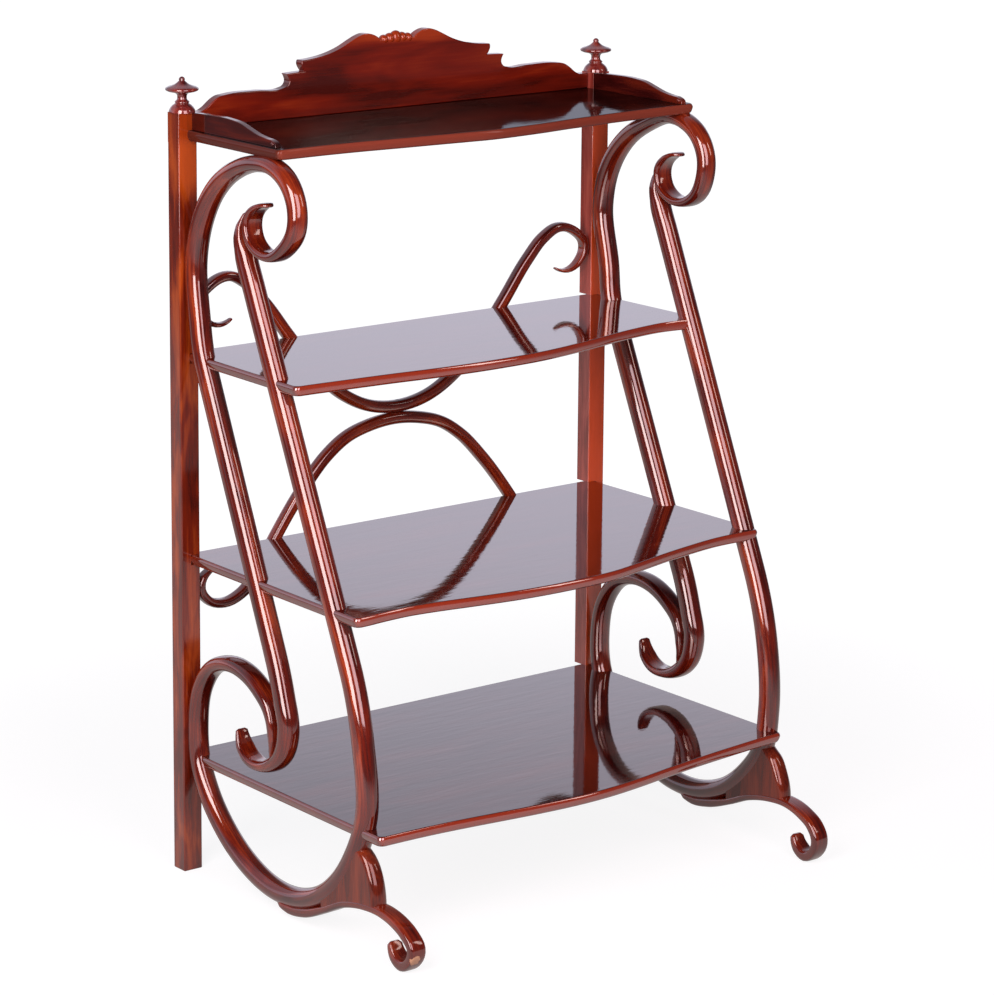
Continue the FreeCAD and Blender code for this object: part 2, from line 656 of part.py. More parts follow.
bodies = {}
for side, sign in SIDES:
    bodies["post", side] = make_post(side, sign)
    bodies["block", side] = make_block(side, sign)
    bodies["finial", side] = make_finial(side, sign)
for shelf in SHELVES:
    bodies["shelf", shelf] = make_board(
        "Shelf_" + shelf, shelf_half, size("shelf_back"), shelf + "_line", size("left_splay"),
        "shelf_thick", "shelf_nose", size(shelf + "_shelf_height"))
bodies["top"] = make_board("TopShelf", top_half, size("post_depth"), "top_line", 0,
                           "top_thick", "top_nose", top_surface)

# ---------------------------------------------------------------- gallery boards
back_half = inner_face - size("block_clearance")
back_front = size("post_depth") - size("gallery_thick")


def make_gallery_back():
    body = new_body("GalleryBack")
    sk = add_sketch(body, "GalleryOutline", "XZ_Plane")
    rows = [(spread * r[0], post_top + r[1]) for r in table("gallery", ("aside", "height"))]
    seat, crest = post_top + size("gallery_seat"), size("crest_half_width")
    shoulder = block_top - size("gallery_shoulder")
    # the outline turns back on itself at the tips of the leaves
    tips = [0] + [int(t[0]) for t in table("leaf_tip", ("row",))] + [len(rows) - 1]
    edges = []
    for sign in (-1, 1):
        pts = [(sign * r[0], r[1]) for r in rows]
        for a, b in zip(tips, tips[1:]):
            edges += smooth_curves(pts[a:b + 1])
        edges += lines_through([pts[-1], (sign * crest, seat)])
        edges += lines_through([pts[0], (sign * back_half, shoulder),
                                (sign * back_half, top_surface)])
    edges += lines_through([(crest, seat), (-crest, seat)])
    edges += lines_through([(back_half, top_surface), (-back_half, top_surface)])
    add_outline(sk, edges)
    sk.setExpression(".AttachmentOffset.Base.z", "-Sizes.post_depth")
    pad(body, "GalleryThickness", sk, "Sizes.gallery_thick")
    doc.recompute()
    return body


def make_gallery_side(side, sign):
    pts = [(0, block_top)] + [(r[0], post_top + r[1]) for r in table("side", ("reach", "height"))]
    body = new_body("GallerySide_" + side)
    sk = add_sketch(body, "SideOutline_" + side, "YZ_Plane")
    top_line = [(-p[0], p[1]) for p in pts]
    add_outline(sk, smooth_curves(top_line) + lines_through(
        [top_line[-1], (top_line[-1][0], top_surface), (0, top_surface), top_line[0]]))
    sk.setExpression(".AttachmentOffset.Base.z",
                     "%d * (Sizes.overall_width / 2 - Sizes.post_width)" % sign)
    pad(body, "SideThickness_" + side, sk, "Sizes.side_gallery_thick", reverse=sign < 0)
    doc.recompute()
    return body


bodies["gallery_back"] = make_gallery_back()
for side, sign in SIDES:
    bodies["gallery_side", side] = make_gallery_side(side, sign)


def make_crest():
    """Shell of overlapping lobes that sits in the saddle of the back board."""
    depth = size("gallery_thick") + size("crest_relief")
    y0 = back_front - size("crest_relief")
    lobes = []
    for aside, height, radius in table("lobe", ("aside", "height", "radius")):
        for sign in ((1,) if aside == 0 else (-1, 1)):
            lobes.append(Part.makeCylinder(radius, depth, V(sign * aside, y0, post_top + height),
                                           V(0, 1, 0)))
    seat, half = post_top + size("gallery_seat"), size("crest_half_width")
    core = Part.makeBox(2 * half, depth, size("crest_core"), V(-half, y0, seat))
    solid = lobes[0].multiFuse(lobes[1:] + [core]).removeSplitter()
    room = Part.makeBox(2 * half, depth, far, V(-half, y0, seat))
    return check(solid.common(room).Solids[0], "crest")


# ---------------------------------------------------------------- fasteners
def cyl(radius, length, base, axis):
    return Part.makeCylinder(radius, length, base, axis)


def screw(diameter, head, head_depth, length, base, axis):
    """Countersunk wood screw with its head face at base, pointing along axis."""
    cone = Part.makeCone(head / 2, diameter / 2, head_depth, base, axis)
    return cone.fuse(cyl(diameter / 2, length, base, axis)).removeSplitter().Solids[0]


def group(solids):
    return Part.makeCompound(solids)


def shelf_dowels():
    """Dowels that pin every scroll rod to the shelves that it passes."""
    r, bite = size("dowel_diameter") / 2, size("dowel_bite")
    out = []
    for shelf in SHELVES:
        z = size(shelf + "_shelf_height") - size("shelf_thick") / 2
        for side, sign in SIDES:
            reaches = [rods["front", side].reach_at(z)]
            if shelf == "lower":
                # the eye of the front rod stands on the lower shelf beside the post
                reaches.append(rods["front", side].reach_at(z, reaches[0] / 2))
            else:
                reaches.append(rods["rear", side].reach_at(z))
            for reach in reaches:
                start = V(sign * (scroll_plane - rod_radius - bite), -reach, z)
                out.append(cyl(r, 2 * bite, start, V(sign, 0, 0)))
    return out


def post_screws():
    """Screws from behind through the posts into the scroll rods."""
    out = []
    for side, sign in SIDES:
        for z in (size("rear_16_height"), size("front_18_height")):
            out.append(screw(size("screw_diameter"), size("screw_head"), size("screw_head_depth"),
                             size("post_screw_length"),
                             V(sign * scroll_plane, size("post_depth"), z), V(0, -1, 0)))
    return out


def post_dowels():
    """Dowels that join each block to its post."""
    half = size("post_dowel_length") / 2
    return [cyl(size("post_dowel_diameter") / 2, 2 * half,
                V(sign * post_mid_x, size("post_depth") / 2, size("post_height") - half),
                V(0, 0, 1)) for side, sign in SIDES]


def gallery_dowels():
    """Dowels from the blocks into the ends of the back board and side boards."""
    r, length = size("gallery_dowel_diameter") / 2, size("gallery_dowel_length")
    middle = (top_surface + block_top) / 2
    y = size("post_depth") - size("gallery_thick") / 2
    out = []
    for side, sign in SIDES:
        out.append(cyl(r, length, V(sign * (inner_face + length / 2), y,
                                    middle - size("gallery_dowel_drop")), V(-sign, 0, 0)))
        out.append(cyl(r, length, V(sign * (inner_face + size("side_gallery_thick") / 2),
                                    length / 2, middle - size("side_dowel_drop")), V(0, -1, 0)))
    return out


def lyre_screws():
    """Screws that hold the lyres to each other and to the posts."""
    d, head, depth = (size("lyre_screw_" + part) for part in ("diameter", "head", "head_depth"))
    y = size("lyre_plane")
    upper = lyre_rows("lyre_upper")
    middle = upper[len(upper) // 2]
    out = [screw(d, head, depth, size("lyre_middle_screw_length"),
                 V(middle[0], y, middle[1] + middle[2] / 2), V(0, 0, -1))]
    for prefix in ("lyre_upper", "lyre_lower"):
        rows = lyre_rows(prefix)
        for row in (min(rows), max(rows)):
            sign = math.copysign(1, row[0])
            out.append(screw(d, head, depth, size("lyre_end_screw_length"),
                             V(row[0] - sign * row[2] / 2, y, row[1]), V(sign, 0, 0)))
    return out


def foot_screws():
    """Screws from below through the strip into the bowl and the knee."""
    out = []
    lean = bowl_lean()
    for side, sign in SIDES:
        for number in (size("foot_screw_bowl_row"), size("foot_screw_knee_row")):
            reach, height, thick, share = table("foot", FOOT)[int(number) - 1]
            y = -(reach + sign * lean[0] * share)
            z = height + sign * lean[1] * share - thick * size("foot_screw_sink")
            out.append(screw(size("screw_diameter"), size("screw_head"), size("screw_head_depth"),
                             size("foot_screw_length"), V(sign * scroll_plane, y, z),
                             V(0, 0, 1)))
    return out


fasteners = {"shelf_dowels": shelf_dowels(), "post_screws": post_screws(),
             "post_dowels": post_dowels(), "gallery_dowels": gallery_dowels(),
             "lyre_screws": lyre_screws(), "foot_screws": foot_screws()}


# ---------------------------------------------------------------- fit the pieces together
def feature(name, shape):
    obj = doc.addObject("Part::Feature", name)
    obj.Shape = shape
    return obj


def cut_by(shape, tools, label):
    """Take the tools out of a shape and keep its largest solid."""
    near = [t for t in tools if t.BoundBox.intersect(shape.BoundBox)]
    out = shape
    for tool in near:
        out = out.cut(tool)
    return check(largest(out), label)


def box_between(x0, x1, y0, y1, z0, z1):
    return Part.makeBox(x1 - x0, y1 - y0, z1 - z0, V(x0, y0, z0))


posts = {side: bodies["post", side].Shape for side, sign in SIDES}
blocks = {side: bodies["block", side].Shape for side, sign in SIDES}
finials = {}
for side, sign in SIDES:
    turned = bodies["finial", side].Shape.copy()
    turned.translate(V(sign * post_mid_x, size("post_depth") / 2, block_top))
    finials[side] = turned
top = bodies["top"].Shape
shelves = {s: bodies["shelf", s].Shape for s in SHELVES}
gap = size("block_clearance")
block_rooms = [box_between(min(sign * (inner_face - gap), sign * far),
                           max(sign * (inner_face - gap), sign * far), -gap, far, 0, far)
               for side, sign in SIDES]

upper_room = box_between(-far, far, -far, far, joint, far)
lower_room = box_between(-far, far, -far, far, 0, joint)
post_list = list(posts.values())
lyre_upper = cut_by(rod_shapes["lyre_upper"], [lower_room] + post_list + fasteners["lyre_screws"],
                    "lyre_upper")
lyre_lower = cut_by(rod_shapes["lyre_lower"], [upper_room] + post_list + fasteners["lyre_screws"],
                    "lyre_lower")

made = {"top_shelf": cut_by(top, block_rooms, "top_shelf"),
        "back_lyre_upper": lyre_upper, "back_lyre_lower": lyre_lower,
        "gallery_back": cut_by(bodies["gallery_back"].Shape, fasteners["gallery_dowels"],
                               "gallery_back"),
        "crest_carving": make_crest()}
for side, sign in SIDES:
    rear = cut_by(rod_shapes["rear", side],
                  [top, posts[side]] + fasteners["shelf_dowels"] + fasteners["post_screws"],
                  "rear scroll")
    front = cut_by(rod_shapes["front", side],
                   [rod_shapes["rear", side], posts[side]] + fasteners["shelf_dowels"] +
                   fasteners["post_screws"] + fasteners["foot_screws"], "front scroll")
    foot = cut_by(rod_shapes["foot", side],
                  [rod_shapes["front", side]] + fasteners["foot_screws"], "foot")
    knee = cut_by(knee_solid(sign), [rod_shapes["front", side], rod_shapes["foot", side],
                                     shelves["lower"]] + fasteners["foot_screws"], "knee")
    made["rear_scroll_" + side] = rear
    made["front_scroll_" + side] = front
    made["foot_scroll_" + side] = foot
    made["knee_block_" + side] = knee
    made["post_" + side] = cut_by(posts[side], fasteners["post_screws"] +
                                  fasteners["post_dowels"] + fasteners["lyre_screws"], "post")
    made["gallery_block_" + side] = cut_by(
        blocks[side], fasteners["post_dowels"] + fasteners["gallery_dowels"] + [finials[side]],
        "block")
    made["finial_" + side] = finials[side]
    made["gallery_side_" + side] = cut_by(bodies["gallery_side", side].Shape,
                                          fasteners["gallery_dowels"], "gallery side")
scrolls = [rod_shapes[p, side] for side, sign in SIDES for p in ("rear", "front")]
for shelf in SHELVES:
    made["shelf_" + shelf] = cut_by(
        shelves[shelf], scrolls + [rod_shapes["lyre_upper"], rod_shapes["lyre_lower"]] +
        fasteners["shelf_dowels"], "shelf_" + shelf)
for label, solids in fasteners.items():
    made[label] = group(solids)

# ---------------------------------------------------------------- place, check and write
def bounds(shape):
    return shape.optimalBoundingBox(False, False)


front_line = min(bounds(made["foot_scroll_" + side]).YMin for side, sign in SIDES)
back_line = max(bounds(finials[side]).YMax for side, sign in SIDES)
centre_shift = -(front_line + back_line) / 2
for label in sorted(made):
    obj = feature("Node_" + label, made[label])
    obj.Label = label
    shift = FreeCAD.Placement(V(0, centre_shift, 0), FreeCAD.Rotation())
    obj.Placement = shift.multiply(obj.Placement)
    nodes[label] = obj
doc.recompute()
for obj in doc.Objects:
    if "Invalid" in obj.State or "Error" in obj.State:
        raise ValueError("%s failed: %s" % (obj.Name, obj.State))
os.makedirs("parts", exist_ok=True)
for label, obj in nodes.items():
    shape = check(obj.Shape, label)
    shape.exportStep("parts/%s.step" % label)
    box = bounds(shape)
    print("%-22s solids %2d  %8.1f cm3  X %.1f..%.1f Y %.1f..%.1f Z %.1f..%.1f" % (
        label, len(shape.Solids), shape.Volume / 1000, box.XMin, box.XMax, box.YMin, box.YMax,
        box.ZMin, box.ZMax))
print("shift of the post front face from the middle of the depth: %.2f" % centre_shift)
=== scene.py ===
# %% [markdown]
# # An etagere with bentwood sides
# The real piece is mahogany under French polish: two square posts, four shelves, long
# rods steamed and bent into scrolls, and a low gallery with turned finials. The packed
# model gives every place and size; here each piece gets its true section and finish.

# %% The frame
import math
import bmesh
import bpy
from mathutils import Matrix, Vector


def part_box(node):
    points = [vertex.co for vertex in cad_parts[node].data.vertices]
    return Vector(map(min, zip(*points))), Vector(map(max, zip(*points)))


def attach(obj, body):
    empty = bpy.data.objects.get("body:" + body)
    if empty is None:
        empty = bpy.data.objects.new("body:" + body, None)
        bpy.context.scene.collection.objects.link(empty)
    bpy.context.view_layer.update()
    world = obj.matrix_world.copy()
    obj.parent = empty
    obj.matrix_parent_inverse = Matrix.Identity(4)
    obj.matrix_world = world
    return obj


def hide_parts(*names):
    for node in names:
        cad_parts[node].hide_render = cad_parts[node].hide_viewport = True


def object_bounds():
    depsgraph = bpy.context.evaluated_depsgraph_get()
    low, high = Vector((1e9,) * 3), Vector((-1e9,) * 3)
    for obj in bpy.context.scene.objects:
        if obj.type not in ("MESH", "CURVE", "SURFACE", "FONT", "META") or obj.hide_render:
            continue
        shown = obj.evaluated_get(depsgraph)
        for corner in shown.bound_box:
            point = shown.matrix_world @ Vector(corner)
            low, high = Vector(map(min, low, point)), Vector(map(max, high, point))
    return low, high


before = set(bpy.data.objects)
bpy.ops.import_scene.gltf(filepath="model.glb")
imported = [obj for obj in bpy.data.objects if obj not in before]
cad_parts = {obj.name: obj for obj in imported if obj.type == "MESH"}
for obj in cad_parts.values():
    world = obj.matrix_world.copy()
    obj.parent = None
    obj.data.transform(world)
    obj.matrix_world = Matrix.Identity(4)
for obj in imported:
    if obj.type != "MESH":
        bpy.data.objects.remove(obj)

bpy.ops.object.select_all(action="DESELECT")
cad_low, cad_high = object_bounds()
print("solids from", tuple(cad_low), "to", tuple(cad_high))

# %% [markdown]
# ## Places taken from the frame
# Everything is measured from the front face of the posts. "Reach" is the distance
# forward of that face, "height" the distance above the floor, both in millimetres, as a
# joiner would write them on a full-size drawing of the side.

# %% Drawing coordinates
MM = 0.001
SIDES = {"left": -1, "right": 1}
POST_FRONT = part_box("post_right")[0][1]
SCROLL_PLANE = sum(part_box("rear_scroll_right")[i][0] for i in (0, 1)) / 2 / MM
LYRE_PLANE = sum(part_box("back_lyre_upper")[i][1] for i in (0, 1)) / 2


def at(aside, reach, height):
    """A point of the drawing, in metres in the frame."""
    return Vector((aside * MM, POST_FRONT - reach * MM, height * MM))


print("scroll rods", round(SCROLL_PLANE, 1), "mm from the middle")

# %% [markdown]
# ## Camera
# A long lens from the front left, well above the top shelf and tilted down a little, as
# furniture is often shown. The view is a part of a wider frame, so the lens is shifted too.

# %% Camera
IMAGE_WIDTH, IMAGE_HEIGHT = 994, 995
SENSOR_WIDTH = 36
FOCAL_PIXELS = 3835.5
CENTRE_X, CENTRE_Y = 503.0, 331.5
AZIMUTH, ELEVATION, ROLL = (math.radians(v) for v in (-38.36, 11.607, 0.513))
CAMERA_PLACE = Vector((-3.4335, POST_FRONT - 4.5859, 1.9572))

bpy.ops.object.camera_add(location=CAMERA_PLACE)
camera = bpy.context.object
camera.rotation_euler = (math.pi / 2 - ELEVATION, 0, AZIMUTH)
upright = camera.rotation_euler.to_matrix()
camera.rotation_euler = (upright @ Matrix.Rotation(ROLL, 3, "Z")).to_euler()
camera.data.sensor_fit = "HORIZONTAL"
camera.data.sensor_width = SENSOR_WIDTH
camera.data.lens = camera.data.sensor_width * FOCAL_PIXELS / IMAGE_WIDTH
camera.data.shift_x = (IMAGE_WIDTH / 2 - CENTRE_X) / IMAGE_WIDTH
camera.data.shift_y = (CENTRE_Y - IMAGE_HEIGHT / 2) / IMAGE_WIDTH
bpy.context.scene.camera = camera
print("lens", round(camera.data.lens, 1), "mm")

# %% [markdown]
# ## Studio
# Polished wood looks like what it mirrors. A pale backdrop behind the piece gives the
# shelves their lilac sheen, soft boxes on both sides of the camera draw the streaks down
# the rods, and the room behind the camera stays dim, so that the wood keeps its depth.


# %% Colours and nodes
def srgb(text):
    """Linear colour of an sRGB hex value."""
    parts = [int(text[i:i + 2], 16) / 255 for i in (1, 3, 5)]
    return tuple(p / 12.92 if p <= 0.04045 else ((p + 0.055) / 1.055) ** 2.4
                 for p in parts) + (1.0,)


def add_node(tree, kind, inputs=(), **settings):
    """Add a node with its settings, values and links."""
    node = tree.nodes.new(kind)
    for name, value in settings.items():
        setattr(node, name, value)
    for name, value in dict(inputs).items():
        if isinstance(value, bpy.types.NodeSocket):
            tree.links.new(value, node.inputs[name])
        else:
            node.inputs[name].default_value = value
    return node


print("mid grey in linear light:", round(srgb("#808080")[0], 3))

# %% World
world = bpy.data.worlds.new("studio")
bpy.context.scene.world = world
world.use_nodes = True
sky = world.node_tree
sky.nodes.clear()
ray = add_node(sky, "ShaderNodeLightPath")
direction = add_node(sky, "ShaderNodeTexCoord")
split = add_node(sky, "ShaderNodeSeparateXYZ", {"Vector": direction.outputs["Generated"]})
# part of the direction, where its change starts and ends, and the level at both
ROOM_LEVELS = [("Y", 0.0, 0.6, 0.06, 1.0), ("Z", -0.2, 0.06, 0.2, 1.0),
               ("Z", 0.25, 0.36, 1.0, 0.55)]
light = 1.0
for part, start, end, first, last in ROOM_LEVELS:
    level = add_node(sky, "ShaderNodeMapRange",
                     {"Value": split.outputs[part], "From Min": start, "From Max": end,
                      "To Min": first, "To Max": last}, interpolation_type="SMOOTHSTEP")
    light = add_node(sky, "ShaderNodeMath", {0: light, 1: level.outputs[0]},
                     operation="MULTIPLY").outputs[0]
room = add_node(sky, "ShaderNodeBackground", {"Color": srgb("#E6E9FF"), "Strength": light})
paper = add_node(sky, "ShaderNodeBackground", {"Color": srgb("#FFFFFF"), "Strength": 1.0})
seen = add_node(sky, "ShaderNodeMixShader", {"Fac": ray.outputs["Is Camera Ray"],
                                             1: room.outputs[0], 2: paper.outputs[0]})
add_node(sky, "ShaderNodeOutputWorld", {"Surface": seen.outputs[0]})
bpy.context.scene.view_settings.view_transform = "Standard"
print("world with", len(sky.nodes), "nodes")


# %% Soft boxes
def soft_box(name, azimuth, elevation, distance, width, height, strength, tint):
    """Area lamp that looks at the middle of the piece."""
    a, e = math.radians(azimuth), math.radians(elevation)
    middle = (cad_low + cad_high) / 2
    away = Vector((math.sin(a) * math.cos(e), -math.cos(a) * math.cos(e), math.sin(e)))
    bpy.ops.object.light_add(type="AREA", location=middle + away * distance)
    lamp = bpy.context.object
    lamp.name = name
    lamp.rotation_euler = away.to_track_quat("Z", "Y").to_euler()
    lamp.data.shape = "RECTANGLE"
    lamp.data.size, lamp.data.size_y = width, height
    lamp.data.energy = strength * math.pi * width * height
    lamp.data.color = srgb(tint)[:3]
    return lamp


# azimuth and elevation in degrees, distance, width and height in metres, strength, tint
SOFT_BOXES = {"soft_box_left": (-62, 22, 2.8, 1.25, 2.6, 8, "#FFF5F6"),
              "soft_box_near": (-14, 24, 2.8, 1.4, 2.4, 4.5, "#FFE6EE"),
              "soft_box_right": (40, 30, 3.4, 0.5, 1.4, 4, "#FFEDE6")}
for name, settings in SOFT_BOXES.items():
    soft_box(name, *settings)

# %% [markdown]
# ## Paper floor
# The floor is a roll of white paper. It keeps the shadow, but a glow of its own, seen by the
# camera alone, brings it to white away from the piece. A second glow shows only in mirrors:
# it stands for the lit part of the paper behind the piece, which the polish picks up.

# %% Floor
FLOOR_SIZE = 30
# distances in metres where the glow changes, and its strength at both
GLOW_SEEN = (0.7, 2.2, 0.87, 1.0)
GLOW_MIRRORED = (2.2, 3.9, 0.38, 0.05)
PAPER_MIDDLE = (-0.5, 1.5, 0.0)
bpy.ops.mesh.primitive_plane_add(size=FLOOR_SIZE, location=(0, 0, 0))
floor = bpy.context.object
floor.name = "paper_floor"
paint = bpy.data.materials.new("white_paper")
paint.use_nodes = True
tree = paint.node_tree
tree.nodes.clear()
ray = add_node(tree, "ShaderNodeLightPath")
spot = add_node(tree, "ShaderNodeTexCoord").outputs["Object"]
glows = []
for middle, levels, kind in (((0.0, 0.0, 0.0), GLOW_SEEN, "Is Camera Ray"),
                             (PAPER_MIDDLE, GLOW_MIRRORED, "Is Glossy Ray")):
    start, end, first, last = levels
    away = add_node(tree, "ShaderNodeVectorMath", {0: spot, 1: middle}, operation="DISTANCE")
    level = add_node(tree, "ShaderNodeMapRange",
                     {"Value": away.outputs["Value"], "From Min": start, "From Max": end,
                      "To Min": first, "To Max": last}, interpolation_type="SMOOTHSTEP")
    glows.append(add_node(tree, "ShaderNodeMath", {0: ray.outputs[kind], 1: level.outputs[0]},
                          operation="MULTIPLY"))
strength = add_node(tree, "ShaderNodeMath", {0: glows[0].outputs[0], 1: glows[1].outputs[0]},
                    operation="ADD")
glow = add_node(tree, "ShaderNodeEmission",
                {"Color": srgb("#FFFFFF"), "Strength": strength.outputs[0]})
matt = add_node(tree, "ShaderNodeBsdfDiffuse", {"Color": srgb("#7C7A7C")})
both = add_node(tree, "ShaderNodeAddShader", {0: matt.outputs[0], 1: glow.outputs[0]})
add_node(tree, "ShaderNodeOutputMaterial", {"Surface": both.outputs[0]})
floor.data.materials.append(paint)
print("paper floor,", FLOOR_SIZE, "m wide")

# %% [markdown]
# ## French-polished mahogany
# Mahogany is a red-brown hardwood with fine, slightly wavy grain and small open pores.
# Dozens of thin coats of shellac fill them and dry to a clear, mirror-like film, so the
# material is a warm base under a glossy coat. The stain is uneven: dark purplish brown
# where it lay thick, orange red where hands and sun have thinned it. Each piece has
# grain along its own length, so a material is told which axis that is, and a bent piece
# carries the places that it had on the straight stick.


# %% Grain and stain
# length of a pore and of a cloud, as a multiple of the width, and levels of the three stains
PORE_LENGTH, FIGURE_LENGTH = 28, 5
STAIN_LEVELS = (0.36, 0.5, 0.66)


def stretched(tree, place, lengthwise, across_mm, along_mm):
    """The place on the wood, scaled so that a pattern is as wide and as long as given."""
    scale = [1 / (across_mm * MM)] * 3
    scale[lengthwise] = 1 / (along_mm * MM)
    return add_node(tree, "ShaderNodeMapping", {"Vector": place, "Scale": scale}).outputs[0]


def grain(tree, place, lengthwise, pore, figure, figured):
    """The fine pores, and their mix with the broad figure."""
    lines = stretched(tree, place, lengthwise, pore, pore * PORE_LENGTH)
    fine = add_node(tree, "ShaderNodeTexNoise",
                    {"Vector": lines, "Scale": 1.0, "Detail": 5.0, "Roughness": 0.6})
    clouds = stretched(tree, place, lengthwise, figure, figure * FIGURE_LENGTH)
    broad = add_node(tree, "ShaderNodeTexNoise",
                     {"Vector": clouds, "Scale": 1.0, "Detail": 3.0, "Roughness": 0.5,
                      "Distortion": 0.6})
    mixed = add_node(tree, "ShaderNodeMix", {"Factor": figured, "A": fine.outputs["Fac"],
                                             "B": broad.outputs["Fac"]}, data_type="FLOAT")
    return fine.outputs["Fac"], mixed.outputs[0]


def stain(tree, pattern, dark, middle, light):
    """Colour of the pattern, from the dark stain over the middle one to the light one."""
    ramp = add_node(tree, "ShaderNodeValToRGB", {"Fac": pattern})
    stops = ramp.color_ramp.elements
    stops.new(STAIN_LEVELS[1])
    for stop, level, colour in zip(stops, STAIN_LEVELS, (dark, middle, light)):
        stop.position = level
        stop.color = srgb(colour)
    return ramp.outputs["Color"]


def facing(tree):
    """The X, Y and Z parts of the direction that the surface faces."""
    normal = add_node(tree, "ShaderNodeNewGeometry").outputs["Normal"]
    return add_node(tree, "ShaderNodeSeparateXYZ", {"Vector": normal}).outputs


# %% [markdown]
# Handling changes the finish, and light is painted into it. The moulded edges of a shelf are
# of a redder wood, with painted light making them warmer along the front than at the sides;
# the fronts of the posts carry a painted orange light; and a foot that is kicked loses its film.

# %% Wear and painted light
# heights in metres where post and block meet, and the share of the painted front light that each
# gets
BLOCK_FOOT, BLOCK_SHADE = (1.095, 1.12), (0.75, 0.3)
# radius where a chip starts and where it is bare, how ragged it is, and lumps per metre
CHIP_EDGE, CHIP_RAGGED, CHIP_LUMPS = (12 * MM, 10.5 * MM), 6 * MM, 180.0


def moulding_red_and_front_light(tree, colour, edge):
    """The moulding's redder wood on its upright faces; painted light makes it strongest along the
    front, so the sides stay darker.
    """
    parts = facing(tree)
    level = add_node(tree, "ShaderNodeMath", {0: parts["Z"]}, operation="ABSOLUTE")
    upright = add_node(tree, "ShaderNodeMapRange",
                       {"Value": level.outputs[0], "From Min": 0.95, "From Max": 0.8,
                        "To Min": 0.0, "To Max": 0.75})
    front = add_node(tree, "ShaderNodeMapRange",
                     {"Value": parts["Y"], "From Min": -0.4, "From Max": -0.9,
                      "To Min": 0.4, "To Max": 1.0})
    rim = add_node(tree, "ShaderNodeMath", {0: upright.outputs[0], 1: front.outputs[0]},
                   operation="MULTIPLY")
    return add_node(tree, "ShaderNodeMix",
                    {"Factor": rim.outputs[0], "A": colour, "B": srgb(edge)},
                    data_type="RGBA").outputs[2]


def paint_front_light(tree, colour, place, front_light_heights, front_light_colour):
    """Painted light: a lighter orange on the front faces, from one height to the other, and less
    on the block.
    """
    rise = add_node(tree, "ShaderNodeSeparateXYZ", {"Vector": place}).outputs["Z"]
    share = 1.0
    for heights, levels in ((front_light_heights, (0.0, 1.0)), (BLOCK_FOOT, BLOCK_SHADE)):
        level = add_node(tree, "ShaderNodeMapRange",
                         {"Value": rise, "From Min": heights[0], "From Max": heights[1],
                          "To Min": levels[0], "To Max": levels[1]},
                         interpolation_type="SMOOTHSTEP")
        share = add_node(tree, "ShaderNodeMath", {0: share, 1: level.outputs[0]},
                         operation="MULTIPLY").outputs[0]
    front = add_node(tree, "ShaderNodeMapRange",
                     {"Value": facing(tree)["Y"], "From Min": -0.5, "From Max": -0.9,
                      "To Min": 0.15, "To Max": 1.0})
    share = add_node(tree, "ShaderNodeMath", {0: share, 1: front.outputs[0]},
                     operation="MULTIPLY")
    return add_node(tree, "ShaderNodeMix",
                    {"Factor": share.outputs[0], "A": colour, "B": srgb(front_light_colour)},
                    data_type="RGBA").outputs[2]


def wear_chip(tree, colour, chip):
    """Colour with a spot of bare wood, and the film that is left around it."""
    spot = add_node(tree, "ShaderNodeTexCoord").outputs["Object"]
    away = add_node(tree, "ShaderNodeVectorMath", {0: spot, 1: chip}, operation="DISTANCE")
    rough = add_node(tree, "ShaderNodeTexNoise", {"Vector": spot, "Scale": CHIP_LUMPS})
    uneven = add_node(tree, "ShaderNodeMath", {0: rough.outputs["Fac"], 1: CHIP_RAGGED,
                                               2: away.outputs["Value"]},
                      operation="MULTIPLY_ADD")
    bare = add_node(tree, "ShaderNodeMapRange",
                    {"Value": uneven.outputs[0], "From Min": CHIP_EDGE[0],
                     "From Max": CHIP_EDGE[1], "To Min": 0.0, "To Max": 1.0})
    colour = add_node(tree, "ShaderNodeMix",
                      {"Factor": bare.outputs[0], "A": colour, "B": srgb("#D9A884")},
                      data_type="RGBA").outputs[2]
    film = add_node(tree, "ShaderNodeMath", {0: 1.0, 1: bare.outputs[0]},
                    operation="SUBTRACT").outputs[0]
    return colour, film


# %% Polished mahogany
# height of the bumps, and width and length of a stroke of the pad in millimetres
WAVE_DEPTH = 0.4 * MM
PAD_STROKE = (15, 80)


